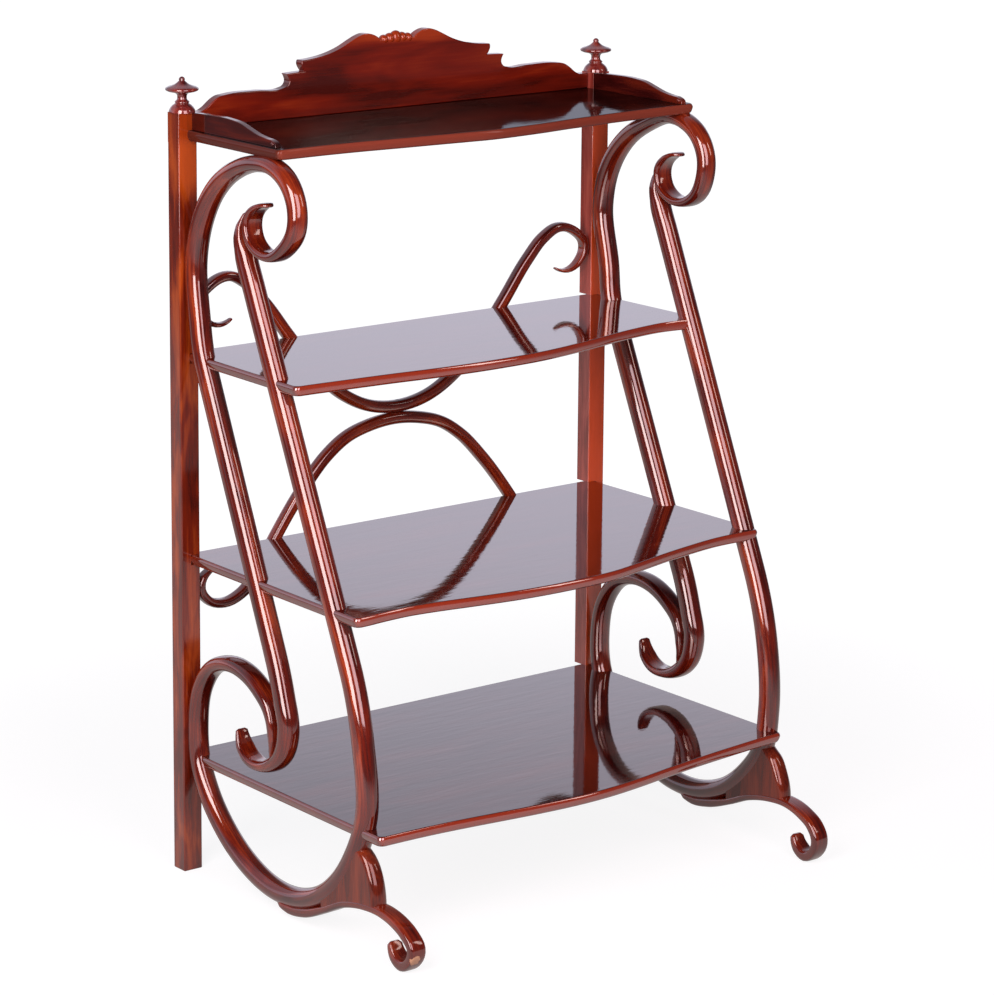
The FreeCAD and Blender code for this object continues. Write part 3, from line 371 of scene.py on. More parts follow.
def mahogany(name, source, lengthwise, dark, middle, light, pore=3.0, figure=60.0,
             polish=0.05, under=0.16, gloss=1.7, ripple=0.10, sheen="#FFC4BC", shine=0.5,
             film=1.0, figured=0.62, edge=None, drag=0.0, front_light_heights=None, front_light_colour="#C85C1A",
             chip=None):
    """Polished mahogany. source: attribute that holds the place on the wood, or object;
    lengthwise: axis of the grain; pore and figure: their widths in millimetres;
    polish and under: roughness of the shellac and of the wood under it; gloss: its
    refractive index; ripple: depth of the open pores; sheen and shine: tint and level of
    the wood's own gloss; film: how much shellac is left; figured: share of the broad
    figure; edge: colour of the redder moulded edges, made stronger on the front as painted
    light; drag: depth of the waves that the polishing pad left; front_light_heights:
    heights in metres between which a painted orange light comes onto the front;
    front_light_colour: its colour there; chip: middle of a spot worn to the bare wood."""
    wood = bpy.data.materials.new(name)
    wood.use_nodes = True
    tree = wood.node_tree
    tree.nodes.clear()
    if source == "object":
        place = add_node(tree, "ShaderNodeTexCoord").outputs["Object"]
    else:
        place = add_node(tree, "ShaderNodeAttribute", attribute_name=source).outputs["Vector"]
    fine, pattern = grain(tree, place, lengthwise, pore, figure, figured)
    colour = stain(tree, pattern, dark, middle, light)
    if edge:
        # redder moulding wood, with painted light along the front
        colour = moulding_red_and_front_light(tree, colour, edge)
    if front_light_heights:
        # painted orange light on the front faces
        colour = paint_front_light(tree, colour, place, front_light_heights, front_light_colour)
    if chip:
        colour, film = wear_chip(tree, colour, chip)
    wave = add_node(tree, "ShaderNodeBump", {"Strength": ripple, "Distance": WAVE_DEPTH,
                                             "Height": fine})
    if drag:
        strokes = stretched(tree, place, lengthwise, *PAD_STROKE)
        pad = add_node(tree, "ShaderNodeTexNoise",
                       {"Vector": strokes, "Scale": 1.0, "Detail": 3.0, "Roughness": 0.62})
        wave = add_node(tree, "ShaderNodeBump", {"Strength": drag, "Distance": WAVE_DEPTH,
                                                 "Height": pad.outputs["Fac"],
                                                 "Normal": wave.outputs[0]})
    skin = add_node(tree, "ShaderNodeBsdfPrincipled",
                    {"Base Color": colour, "Roughness": under, "IOR": 1.5,
                     "Specular IOR Level": shine, "Specular Tint": srgb(sheen),
                     "Coat Weight": film, "Coat Normal": wave.outputs[0],
                     "Coat Roughness": polish, "Coat IOR": gloss,
                     "Coat Tint": srgb("#FFE9DC"), "Normal": wave.outputs[0]})
    add_node(tree, "ShaderNodeOutputMaterial", {"Surface": skin.outputs[0]})
    return wood


# %% Woods of the etagere
X_GRAIN, Y_GRAIN, Z_GRAIN = 0, 1, 2
# red brown with long streaks, for all rods and strips
bent_polish = mahogany("bentwood_mahogany", "stick", Z_GRAIN, "#380C0A", "#6A1E10", "#A8461E",
                       pore=2.5, figure=26, gloss=1.8)
# mauve at the side, and a painted orange light over the whole front
post_polish = mahogany("post_mahogany", "object", Z_GRAIN, "#702A2A", "#A44C48", "#C0685C",
                       figure=24, polish=0.07, figured=0.75, front_light_heights=(-2, -1),
                       front_light_colour="#E85E18")
# dark red, with a painted orange light only at the top of the front
left_post_polish = mahogany("left_post_mahogany", "object", Z_GRAIN, "#4A140A", "#76240C",
                        "#B0521C", figure=24, polish=0.07, figured=0.75, front_light_heights=(1.01, 1.06))
# nearly black wood under a thick film, a mirror at a low angle; its redder moulded edge has
# painted light along the front
shelf_polish = mahogany("shelf_mahogany", "object", X_GRAIN, "#1A080A", "#300E10", "#522018",
                        figure=45, polish=0.035, under=0.05, gloss=1.95, ripple=0.02,
                        sheen="#F4F2FF", shine=1.0, edge="#A83E20", drag=0.2)
# the same wood, but with a worn film that mirrors less; its redder moulded edge has painted light
# along the front
top_polish = mahogany("top_shelf_mahogany", "object", X_GRAIN, "#0E0405", "#1A0808", "#301410",
                      figure=45, under=0.1, gloss=1.4, film=0.55, ripple=0.02, shine=0.0,
                      edge="#924636", drag=0.2)
# brown with a soft gloss
knee_polish = mahogany("knee_mahogany", "stick", Z_GRAIN, "#3A1110", "#682616", "#8C3C20",
                       pore=2.5, figure=30, gloss=1.45)
# clear red with broad clouds
gallery_polish = mahogany("gallery_mahogany", "object", X_GRAIN, "#420F0B", "#701C0E",
                          "#9A3A18", polish=0.06, gloss=1.5, ripple=0.05, figured=0.88)
# dark, because the side boards stand in the shade of the gallery
side_polish = mahogany("side_board_mahogany", "object", Y_GRAIN, "#1C0607", "#3E1010",
                       "#6A2416", figure=30, polish=0.06, gloss=1.5, ripple=0.05,
                       figured=0.8)
# purplish end grain with hard glints
turned_polish = mahogany("turned_mahogany", "object", Z_GRAIN, "#401416", "#782C2A", "#9E4A3C",
                         pore=2.5, figure=18, polish=0.06, gloss=1.9)
# like the rods, with one bare spot at the toe
CHIP_REACH, CHIP_HEIGHT, CHIP_ASIDE = 551, 24, 5
worn_polish = mahogany("worn_foot_mahogany", "stick", Z_GRAIN, "#3A0E0C", "#6C2214", "#A4482A",
                       pore=2.5, figure=26,
                       chip=at(-SCROLL_PLANE - CHIP_ASIDE, CHIP_REACH, CHIP_HEIGHT))
print("woods", [m.name for m in bpy.data.materials if "mahogany" in m.name])

# %% [markdown]
# ## Smooth lines
# A bent rod passes smoothly through the points that matter on the drawing. Between two
# points the line is a Bezier span, with handles along the direction of travel; that
# direction leans towards the nearer neighbour, as a steamed stick does.


# %% Smooth lines
STRAIGHT_STEPS = 25


def directions(points, straight=(), ends=None):
    """Direction of travel at each point; spans listed in straight stay straight."""
    steps = [(b[0] - a[0], b[1] - a[1]) for a, b in zip(points, points[1:])]
    length = [math.hypot(*s) for s in steps]
    angle = [math.atan2(s[1], s[0]) for s in steps]
    head = [0.0] * len(points)
    for i in range(1, len(points) - 1):
        turn = (angle[i] - angle[i - 1] + math.pi) % (2 * math.pi) - math.pi
        head[i] = angle[i - 1] + turn * length[i - 1] / (length[i - 1] + length[i])
    for i in straight:
        head[i] = head[i + 1] = angle[i]
    head[0], head[-1] = 2 * angle[0] - head[1], 2 * angle[-1] - head[-2]
    if ends:
        head[0], head[-1] = ends
    return head


def stations(rows, straight=(), step=6.0, ends=None):
    """Stations along a smooth line: place, direction, the row's other values, length so far.
    A straight span needs few of them."""
    head = directions(rows, straight, ends)
    out = [(rows[0][0], rows[0][1], head[0], tuple(rows[0][2:]), 0.0)]
    for i, (a, b) in enumerate(zip(rows, rows[1:])):
        chord = math.hypot(b[0] - a[0], b[1] - a[1])
        turn = (head[i + 1] - head[i] + math.pi) % (2 * math.pi) - math.pi
        handle = chord / (3 * math.cos(turn / 4) ** 2)
        p0, p3 = Vector(a[:2]), Vector(b[:2])
        p1 = p0 + handle * Vector((math.cos(head[i]), math.sin(head[i])))
        p2 = p3 - handle * Vector((math.cos(head[i + 1]), math.sin(head[i + 1])))
        count = max(1, round(chord / (STRAIGHT_STEPS * step if i in straight else step)))
        for k in range(1, count + 1):
            u = k / count
            v = 1 - u
            p = v ** 3 * p0 + 3 * v * v * u * p1 + 3 * v * u * u * p2 + u ** 3 * p3
            d = 3 * (v * v * (p1 - p0) + 2 * v * u * (p2 - p1) + u * u * (p3 - p2))
            rest = tuple(m + (n - m) * u for m, n in zip(a[2:], b[2:]))
            far = out[-1][4] + (p - Vector(out[-1][:2])).length
            out.append((p.x, p.y, math.atan2(d.y, d.x), rest, far))
    return out


print("quarter circle:", [tuple(round(c, 1) for c in s[:2]) for s in
                          stations([(0, 0), (70.7, 29.3), (100, 100)], step=60)])

# %% [markdown]
# ## Bending a rod
# A turner makes a straight stick; the bender thins its ends, steams it and pulls it
# round a form. Here the end of the stick is a ring of corners. It is extruded from
# station to station and shaped at each: round where the stick is thick, flatter where it
# was thinned. Every corner also remembers where it was on the straight stick, so that
# the grain can follow the bend.


# %% Bend a rod
CORNERS = 28
ROUND_FROM, FLAT_FROM = 27, 13
TIP_REACH, TIP_THICK, TIP_WIDE = 0.4, 0.5, 0.6


def ring_offsets(thick, wide, flatness):
    """Corner offsets of a section, across the bend and along the other way."""
    flat = max(0.0, min(1.0, (ROUND_FROM - thick) / (ROUND_FROM - FLAT_FROM)))
    power = 2 / (2 + flatness * flat)
    out = []
    for k in range(CORNERS):
        c, s = (f(2 * math.pi * k / CORNERS) for f in (math.cos, math.sin))
        out.append((math.copysign(abs(c) ** power, c) * thick / 2,
                    math.copysign(abs(s) ** power, s) * wide / 2))
    return out


def draw_through(name, rings):
    """Extrude a face from ring to ring. Each corner has a place and a place on the stick."""
    bpy.ops.mesh.primitive_circle_add(vertices=len(rings[0]), radius=0.01, fill_type="NGON")
    piece = bpy.context.object
    piece.name = name
    bpy.ops.object.mode_set(mode="EDIT")
    mesh = bmesh.from_edit_mesh(piece.data)
    corner = mesh.verts.layers.int.new("corner")
    mesh.verts.layers.float_vector.new("stick")
    for k, v in enumerate(mesh.verts):
        v[corner] = k
    for number, ring in enumerate(rings):
        if number:
            bpy.ops.mesh.extrude_region_move()
        mesh = bmesh.from_edit_mesh(piece.data)
        corner = mesh.verts.layers.int["corner"]
        stick = mesh.verts.layers.float_vector["stick"]
        for v in (v for v in mesh.verts if v.select):
            v.co, v[stick] = ring[v[corner]]
        bmesh.update_edit_mesh(piece.data)
    bpy.ops.mesh.select_all(action="SELECT")
    bpy.ops.mesh.normals_make_consistent(inside=False)
    bpy.ops.object.mode_set(mode="OBJECT")
    bpy.ops.object.shade_smooth_by_angle(angle=math.radians(50))
    return piece


def bend_rod(name, rows, origin, axes, straight=(), step=6.0, flatness=1.2):
    """A rod along a smooth line, with eased tips. axes: forward, up and sideways of its plane."""
    forward, up, side = (Vector(a) for a in axes)
    line = stations(rows, straight, step)
    tips = []
    for sign, end in ((-1, line[0]), (1, line[-1])):
        x, y, head, (thick, wide), far = end
        reach = TIP_REACH * thick * sign
        tips.append((x + reach * math.cos(head), y + reach * math.sin(head), head,
                     (thick * TIP_THICK, wide * TIP_WIDE), far + reach))
    rings = []
    for x, y, head, (thick, wide), far in [tips[0]] + line + [tips[1]]:
        centre = origin + forward * x * MM + up * y * MM
        across = up * math.cos(head) - forward * math.sin(head)
        rings.append([(centre + across * u * MM + side * w * MM, (u * MM, w * MM, far * MM))
                      for u, w in ring_offsets(thick, wide, flatness)])
    rod = draw_through(name, rings)
    print(name, "rings", len(rings), "length", round(line[-1][4]), "mm")
    return rod


def hand_over(piece, slot, material, *nodes):
    """Give a piece its finish and let it stand for its solids."""
    piece.data.materials.clear()
    piece.data.materials.append(material)
    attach(piece, "root")
    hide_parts(*nodes)
    piece.select_set(False)


# %% [markdown]
# ## The scroll rods
# Each side has two. The rear rod starts as a thin ribbon curled inside the top scroll,
# runs over the top, down past two shelves and ends in a hook. The front rod starts
# beside that ribbon, runs down to the bowl at the floor, up behind and round the hook.
# No two hand-bent rods are alike: the right ones lean forward and up, the left ones back
# and down.

# %% Rear rods
# reach, height, thickness, width
REAR = [
    (199, 1041, 5, 14), (190, 1041, 6.5, 26), (174, 1035, 9, 33), (157, 1017, 11, 33),
    (160, 990, 12, 33), (180, 973.5, 13, 33), (212, 970, 15, 31), (240, 985, 20, 30),
    (259.5, 1014, 25, 30), (261, 1046, 27, 30), (243, 1078, 26, 31), (211, 1096, 24, 33),
    (175, 1098.5, 24, 33), (122, 1083, 27, 33), (72, 1053, 30, 33), (32, 1003, 33, 33),
    (13.5, 940, 33, 33), (24.5, 850, 33, 33), (38, 781.5, 33, 33), (215, 385.5, 33, 33),
    (235, 329.5, 33, 33), (246, 280.5, 33, 33), (236, 246, 29, 33), (212, 223, 22, 33),
    (184, 213.5, 15.5, 33), (156, 216, 13, 33), (136, 231, 10.5, 30), (127, 253, 6, 20)]
REAR_STRAIGHT = 18


def lean(rows, sign, zones):
    """Shift the rows of one side by the hand bending of each zone."""
    out = []
    for number, row in enumerate(rows, 1):
        reach, rise = next(z[:2] for z in zones if number <= z[2])
        out.append((row[0] + sign * reach, row[1] + sign * rise) + tuple(row[2:]))
    return out


def side_frame(sign):
    """Origin and axes of the drawing of one side."""
    return at(sign * SCROLL_PLANE, 0, 0), ((0, -1, 0), (0, 0, 1), (1, 0, 0))


# lean of the right rod by zone: reach, rise, last row
REAR_LEAN = [(2, 2, 8), (-3, 1, 12), (2, 2, 13), (0, 0, 16), (2, 0, 17), (7, 0, 18),
             (5, 0, 19), (6, 4, 28)]
for side, sign in SIDES.items():
    origin, axes = side_frame(sign)
    rod = bend_rod("rear_rod_" + side, lean(REAR, sign, REAR_LEAN), origin, axes,
                   straight=(REAR_STRAIGHT,))
    hand_over(rod, "bent_wood", bent_polish, "rear_scroll_" + side)

# %% Front rods
FRONT = [
    (147.5, 1020, 4, 12), (143.5, 1003, 12, 28), (141, 985, 21, 32), (147, 957, 32, 33),
    (162, 922.5, 33, 33), (388, 420, 33, 33), (422, 307.5, 33, 33), (429, 206, 33, 33),
    (410, 142, 33, 33), (376, 96.5, 32, 33), (331, 61, 31, 33), (280, 41, 31, 33),
    (212, 36.5, 31, 33), (147, 54, 31, 33), (86, 90, 31, 33), (42, 137, 31, 33),
    (19, 184, 30, 33), (14.5, 232, 29, 33), (30.5, 300, 26, 33), (62, 335, 24, 33),
    (100, 348.5, 23, 33), (144, 346, 23, 33), (185, 327, 21, 33), (212, 302, 19, 33),
    (220.5, 272, 15, 32), (218, 246, 8, 26), (208, 228, 3.5, 12)]
FRONT_STRAIGHT = 4
FRONT_LEAN = [(8, 0, 5), (-1, 8, 8), (6.5, 8, 14), (8.5, 5.5, 27)]
for side, sign in SIDES.items():
    origin, axes = side_frame(sign)
    rod = bend_rod("front_rod_" + side, lean(FRONT, sign, FRONT_LEAN), origin, axes,
                   straight=(FRONT_STRAIGHT,))
    hand_over(rod, "bent_wood", bent_polish, "front_scroll_" + side)

# %% [markdown]
# ## Foot strips
# Below the bowl a flat strip leaves the rod, rises over the knee and curls down to the
# floor. It is the same kind of bent stick, but thinned over its whole length, so its
# section is a soft-cornered oblong.

# %% Foot strips
# reach, height, thickness, width, share of the bowl's lean
FOOT = [
    (228, 29, 3, 20, 1), (243, 23, 9, 29, 1), (262, 21, 14, 29, 1), (300, 27, 15, 29, 1),
    (345, 43, 11, 29, 0.7), (395, 65, 11, 29, 0.5), (440, 75, 11, 29, 0.5),
    (482, 76, 11.5, 28, 0.5), (513, 68, 13, 27, 0.4), (535, 56, 13.5, 27, 0.3),
    (548, 38, 14, 27, 0), (541, 18, 14, 27, 0),
    (524, 8.6, 17, 27, 0), (507, 16, 16, 26, 0), (498, 32, 10, 22, 0)]
BOWL_LEAN = FRONT_LEAN[2]
for side, sign in SIDES.items():
    origin, axes = side_frame(sign)
    rows = [(r + sign * BOWL_LEAN[0] * s, z + sign * BOWL_LEAN[1] * s, t, w)
            for r, z, t, w, s in FOOT]
    strip = bend_rod("foot_strip_" + side, rows, origin, axes, flatness=2.6, step=5)
    finish = worn_polish if side == "left" else bent_polish
    hand_over(strip, "bent_wood", finish, "foot_scroll_" + side)

# %% [markdown]
# ## Lyre rods
# Two thinner rods cross the back. They lie in the plane of the posts, touch in the
# middle and curl against the posts at their ends. One half is written down; the other
# is its mirror image.

# %% Lyre rods
LYRE_UPPER = [
    (0, 662, 19, 19), (54, 670, 19, 19), (106, 696, 19, 19), (155, 740, 19, 19),
    (204, 799, 19, 19), (252, 860, 18, 19), (283, 890, 17, 19), (312, 903, 15, 19),
    (344, 894, 14, 19), (365.5, 869, 13, 19), (354, 843, 10, 18), (330, 832, 7, 16),
    (308, 838, 3.5, 9)]
LYRE_LOWER = [
    (0, 643.5, 19, 19), (45, 639, 19, 19), (92, 625, 19, 19), (126, 603, 19, 19),
    (170, 559, 19, 19), (225, 489, 18, 19), (258, 441, 17, 19), (290, 412, 15, 19),
    (322, 403, 14, 19), (352, 412, 13.5, 19), (365.3, 436, 13, 19), (352, 455, 8, 17),
    (334, 459, 4, 10)]
# half, sway of the middle and tilt: the lower one stands a little to the left, and the
# upper one rises to the right
LYRES = {"upper": (LYRE_UPPER, 0, 5), "lower": (LYRE_LOWER, -8, 0)}
for name, (half, sway, tilt) in LYRES.items():
    end = max(r[0] for r in half)
    rows = [(-r[0],) + r[1:] for r in reversed(half[1:])] + half
    rows = [(r[0] + sway * (1 - (r[0] / end) ** 2), r[1] + tilt * r[0] / end) + r[2:]
            for r in rows]
    rod = bend_rod("lyre_rod_" + name, rows, Vector((0, LYRE_PLANE, 0)),
                   ((1, 0, 0), (0, 0, 1), (0, 1, 0)))
    hand_over(rod, "bent_wood", bent_polish, "back_lyre_" + name)

# %% [markdown]
# ## Boards cut to an outline
# Shelves, gallery boards and knee blocks are sawn to a drawn outline. A filled circle
# with one corner for each point of the outline is the blank: its corners move to the
# drawing, and the face is then extruded to the thickness of the board.


# %% Saw a board
def saw(name, outline, to_space):
    """A flat face with the given outline, left in edit mode with all of it selected."""
    bpy.ops.mesh.primitive_circle_add(vertices=len(outline), radius=0.1, fill_type="NGON")
    board = bpy.context.object
    board.name = name
    print(name, "outline of", len(outline), "corners")
    for v, p in zip(board.data.vertices, outline):
        v.co = to_space(p)
    bpy.ops.object.mode_set(mode="EDIT")
    bpy.ops.mesh.select_all(action="SELECT")
    return board


def polish_board(board, angle=35):
    """Shade the rounded edges smoothly and keep the flat faces true as a mirror."""
    bpy.ops.object.shade_smooth_by_angle(angle=math.radians(angle))
    weigh = board.modifiers.new("true_faces", "WEIGHTED_NORMAL")
    weigh.keep_sharp = True
    bpy.ops.object.modifier_apply(modifier=weigh.name)


def close_board(board):
    """Point all faces outwards."""
    bpy.ops.mesh.select_all(action="SELECT")
    bpy.ops.mesh.normals_make_consistent(inside=False)
    bpy.ops.object.mode_set(mode="OBJECT")
    polish_board(board)


def round_edges(board, width, segments=4, angle=40):
    """Take the sharp edges off with a bevel, and keep the flat faces flat."""
    bevel = board.modifiers.new("rounded", "BEVEL")
    bevel.width = width * MM
    bevel.segments = segments
    bevel.limit_method = "ANGLE"
    bevel.angle_limit = math.radians(angle)
    bpy.ops.object.modifier_apply(modifier=bevel.name)
    polish_board(board)


def smooth_outline(rows, step=4.0, ends=None):
    """Places along a smooth line through the rows."""
    return [s[:2] for s in stations(rows, step=step, ends=ends)]


# %% [markdown]
# ## Shelves
# The front of each shelf is drawn out to a soft point in the middle, and its edge is a
# moulding: a thin upright lip, a narrow quirk and a bead below. The moulding is made
# by extruding the outline upwards in small steps and scaling it a little at each.

# %% Shelf outline
CORNER_ROUND, CORNER_STEPS, BACK_SPARE = 9, 6, 12
FRONT_STEP = 14
# how far the left and the right front corner stand out of the square board
SPLAY = {"top_shelf": (0, 9), "shelf_upper": (7, 8), "shelf_middle": (7, 6),
         "shelf_lower": (7, 0)}
# distance from the middle and reach of the front, from the left corner to the right one
FRONT_LINES = {
    "top_shelf": [
        (-380, 228), (-300, 228), (-240, 231), (-190, 236), (-129, 241), (-61, 247),
        (-20, 250), (30, 247), (92, 240), (136, 233), (180, 228), (224, 223), (300, 217),
        (380, 213)],
    "shelf_upper": [
        (-379, 278), (-330, 281), (-283, 284), (-230, 288), (-160, 295), (-79, 299),
        (-20, 298), (38, 294), (81, 287), (130, 276), (175, 265), (230, 250), (275, 241),
        (319, 235), (379, 240)],
    "shelf_middle": [
        (-379, 423), (-343, 419), (-300, 417), (-250, 422), (-197, 431), (-116, 443),
        (-20, 447), (60, 442), (130, 425), (190, 409), (240, 398), (310, 386), (379, 385)],
    "shelf_lower": [
        (-379, 480), (-330, 481), (-280, 484), (-230, 489), (-187, 494), (-121, 501),
        (-40, 505), (20, 502), (72, 495), (140, 483), (212, 472), (284, 463), (340, 457),
        (379, 454)]}
for node, line in FRONT_LINES.items():
    print(node, "reaches", max(reach for _, reach in line), "mm at its point")


def shelf_outline(half, back, front, splay):
    """Front line with rounded corners, straight sides and a back with some to spare."""
    left, right = half + splay[0], half + splay[1]
    front = ([(CORNER_ROUND - left, front[0][1])] + front[1:-1]
             + [(right - CORNER_ROUND, front[-1][1])])
    line = smooth_outline(front, step=FRONT_STEP, ends=(0, 0))
    corners = []
    for sign, out, reach in ((-1, left, line[0][1]), (1, right, line[-1][1])):
        turn = [(sign * (out - CORNER_ROUND * (1 - math.sin(a))),
                 reach - CORNER_ROUND * (1 - math.cos(a)))
                for a in (math.pi / 2 * k / CORNER_STEPS for k in range(CORNER_STEPS, 0, -1))]
        corners.append([(sign * half, -back - BACK_SPARE)] + turn)
    return corners[0] + line + corners[1][::-1]


# %% Shelves with a moulded edge
# inset from the widest line of the edge, and depth below the top, both in millimetres
MOULDING = [(5.5, 15.5), (3.6, 14.9), (2.2, 13.4), (1.3, 11.2), (0.6, 8.8), (0.1, 6.6),
            (0, 5.0), (0.4, 3.4), (1.2, 1.6), (2.2, 0.5), (3.2, 0)]


def moulded_shelf(name, node):
    """Shelf whose outline is extruded up through the moulding, then cut straight behind."""
    low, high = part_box(node)
    half, back, top = high[0] / MM, (high[1] - POST_FRONT) / MM, high[2] / MM
    nose, thick = (POST_FRONT - low[1]) / MM, (high[2] - low[2]) / MM
    centre = at(0, (nose - back - BACK_SPARE) / 2, 0)
    half_depth = (nose + back + BACK_SPARE) / 2

    def scale(inset):
        return 1 - inset / half, 1 - inset / half_depth

    now = MOULDING[0]
    sx, sy = scale(now[0])
    shelf = saw(name, shelf_outline(half, back, FRONT_LINES[node], SPLAY[node]),
                lambda p: at(p[0], p[1], top - thick))
    bpy.ops.transform.resize(value=(sx, sy, 1), center_override=centre)
    for inset, depth in MOULDING[1:]:
        bpy.ops.mesh.extrude_region_move(
            TRANSFORM_OT_translate={"value": (0, 0, (now[1] - depth) * MM)})
        nx, ny = scale(inset)
        bpy.ops.transform.resize(value=(nx / sx, ny / sy, 1), center_override=centre)
        now, sx, sy = (inset, depth), nx, ny
    bpy.ops.mesh.select_all(action="SELECT")
    bpy.ops.mesh.bisect(plane_co=at(0, -back, 0), plane_no=(0, 1, 0), use_fill=True,
                        clear_outer=True)
    close_board(shelf)
    print(name, "corners", len(shelf.data.vertices))
    return shelf


for node in FRONT_LINES:
    finish = top_polish if node == "top_shelf" else shelf_polish
    hand_over(moulded_shelf("moulded_" + node, node), "shelf_wood", finish, node)

# %% [markdown]
# ## Knee blocks
# A solid block fills the corner between the rod, the lower shelf and the foot strip. Its
# front is worked to a thick half-round nose.

# %% Knee blocks
# reach, height, share of the bowl's lean
KNEE = [(410, 168, 1), (431, 156, 0.4), (450, 141, 0.4), (462, 120, 0.4), (469, 98, 0.5),
        (471, 76, 0.5), (440, 75, 0.5), (395, 65, 0.5), (345, 43, 0.7), (342, 66, 1),
        (374, 97, 1), (407, 140, 1)]
# points of the front, width, depth of the rounding and number of steps across it
KNEE_FRONT, KNEE_WIDTH, KNEE_NOSE, KNEE_STEPS = 6, 27, 9, 16
for side, sign in SIDES.items():
    rows = [(r + sign * BOWL_LEAN[0] * s, z + sign * BOWL_LEAN[1] * s) for r, z, s in KNEE]
    front = stations(rows[:KNEE_FRONT], step=5)
    rings = []
    for k in range(KNEE_STEPS + 1):
        turn = math.pi * (k / KNEE_STEPS - 0.5)
        x = sign * SCROLL_PLANE + KNEE_WIDTH / 2 * math.sin(turn)
        inset = KNEE_NOSE * (1 - math.cos(turn))
        line = [(f[0] + inset * math.sin(f[2]), f[1] - inset * math.cos(f[2])) for f in front]
        rings.append([(at(x, r, z), (x * MM, r * MM, z * MM))
                      for r, z in line + rows[KNEE_FRONT:]])
    knee = draw_through("knee_" + side, rings)
    polish_board(knee, angle=50)
    hand_over(knee, "bent_wood", knee_polish, "knee_block_" + side)
    print(knee.name, "corners", len(knee.data.vertices))

# %% [markdown]
# ## Gallery
# The back board rises in steps of leaf-like points to a crest; the side boards fall in
# one soft curve to a small eye. All their edges are rounded over with a bevel.

# %% Back board
GALLERY = [
    (355, 1146), (345, 1151), (336, 1158), (325, 1164.5), (308, 1167.5), (254, 1168.5),
    (212, 1168), (203, 1171), (199, 1177), (200, 1183), (204, 1189), (186, 1190), (171, 1190.5),
    (175, 1196), (177, 1201), (176, 1207), (155, 1208.5), (128, 1213), (103, 1221), (84, 1230),
    (70, 1236), (58, 1238.5), (46, 1236.5), (34, 1230)]
LEAF_TIPS = [0, 10, 12, 15, len(GALLERY) - 1]
SEAT, CREST_HALF, SHOULDER_DROP = 1228, 32, 2
BACK_EASE, SIDE_EASE = 2.2, 2.6
low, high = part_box("gallery_back")
half_board, board_foot = high[0] / MM, low[2] / MM
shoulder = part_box("gallery_block_right")[1][2] / MM - SHOULDER_DROP
right = [(half_board, board_foot), (half_board, shoulder)]
for a, b in zip(LEAF_TIPS, LEAF_TIPS[1:]):
    right += smooth_outline(GALLERY[a:b + 1], step=3)[:-1]
right += [GALLERY[-1], (CREST_HALF, SEAT)]
outline = right + [(-x, z) for x, z in reversed(right)]
front = (POST_FRONT - low[1]) / MM
board = saw("gallery_board_back", outline, lambda p: at(p[0], front, p[1]))
bpy.ops.mesh.extrude_region_move(TRANSFORM_OT_translate={"value": (0, high[1] - low[1], 0)})
close_board(board)
round_edges(board, BACK_EASE, segments=3)
hand_over(board, "gallery_wood", gallery_polish, "gallery_back")
print(board.name, "corners", len(board.data.vertices))

# %% Side boards
SIDE_BOARD = [(0, 1148), (40, 1150), (95, 1150.5), (122, 1148), (145, 1142), (165, 1137),
              (187, 1134), (203, 1132), (210, 1128), (211, 1123.5)]
EYE, EYE_RADIUS, EYE_FLATNESS = (203, 1127.5), 3.2 * MM, 0.5
for side in SIDES:
    low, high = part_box("gallery_side_" + side)
    nose = SIDE_BOARD[-1][0]
    outline = smooth_outline(SIDE_BOARD) + [(nose, board_foot), (0, board_foot)]
    board = saw("gallery_board_" + side, outline, lambda p: at(low[0] / MM, p[0], p[1]))
    bpy.ops.mesh.extrude_region_move(TRANSFORM_OT_translate={"value": (high[0] - low[0], 0, 0)})
    close_board(board)
    round_edges(board, SIDE_EASE)
    for face in (low[0], high[0]):
        eye = at(0, *EYE)
        bpy.ops.mesh.primitive_uv_sphere_add(segments=20, ring_count=12, radius=EYE_RADIUS,
                                             location=(face, eye.y, eye.z))
        boss = bpy.context.object
        boss.scale = (EYE_FLATNESS, 1, 1)
        bpy.ops.object.transform_apply(location=True, rotation=True, scale=True)
        bpy.ops.object.shade_smooth()
        board.select_set(True)
        bpy.context.view_layer.objects.active = board
        bpy.ops.object.join()
    hand_over(board, "gallery_wood", side_polish, "gallery_side_" + side)

# %% [markdown]
# ## Crest
# The saddle in the middle of the board holds a small carved shell of five round lobes, the
# middle one the largest. Each is a ball pressed flat.

# %% Crest
# place aside, height and radius of each lobe
SHELL = [(0, 1228, 11), (11.5, 1227.5, 8.5), (-11.5, 1227.5, 8.5), (22.5, 1226.5, 7.5),
         (-22.5, 1226.5, 7.5)]
CREST_INSET = 1.5 * MM
low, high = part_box("crest_carving")
CREST_DEPTH = (high[1] - low[1]) / 2 - CREST_INSET
lobes = []
for x, z, radius in SHELL:
    bpy.ops.mesh.primitive_uv_sphere_add(segments=24, ring_count=16, radius=radius * MM,
                                         location=(x * MM, (low[1] + high[1]) / 2, z * MM))
    lobe = bpy.context.object
    lobe.scale = (1, CREST_DEPTH / (radius * MM), 1)
    lobes.append(lobe)
bpy.ops.object.select_all(action="DESELECT")
for lobe in lobes:
    lobe.select_set(True)
bpy.context.view_layer.objects.active = lobes[0]
bpy.ops.object.join()
crest = bpy.context.object
crest.name = "crest_shell"
bpy.ops.object.transform_apply(location=True, rotation=True, scale=True)
bpy.ops.object.shade_smooth()
hand_over(crest, "gallery_wood", gallery_polish, "crest_carving")
print(crest.name, "lobes", len(SHELL))

# %% [markdown]
# ## Finials
# Turned on a lathe. Half of the outline is drawn point by point and spun round the
# axis, as the gouge would cut it.

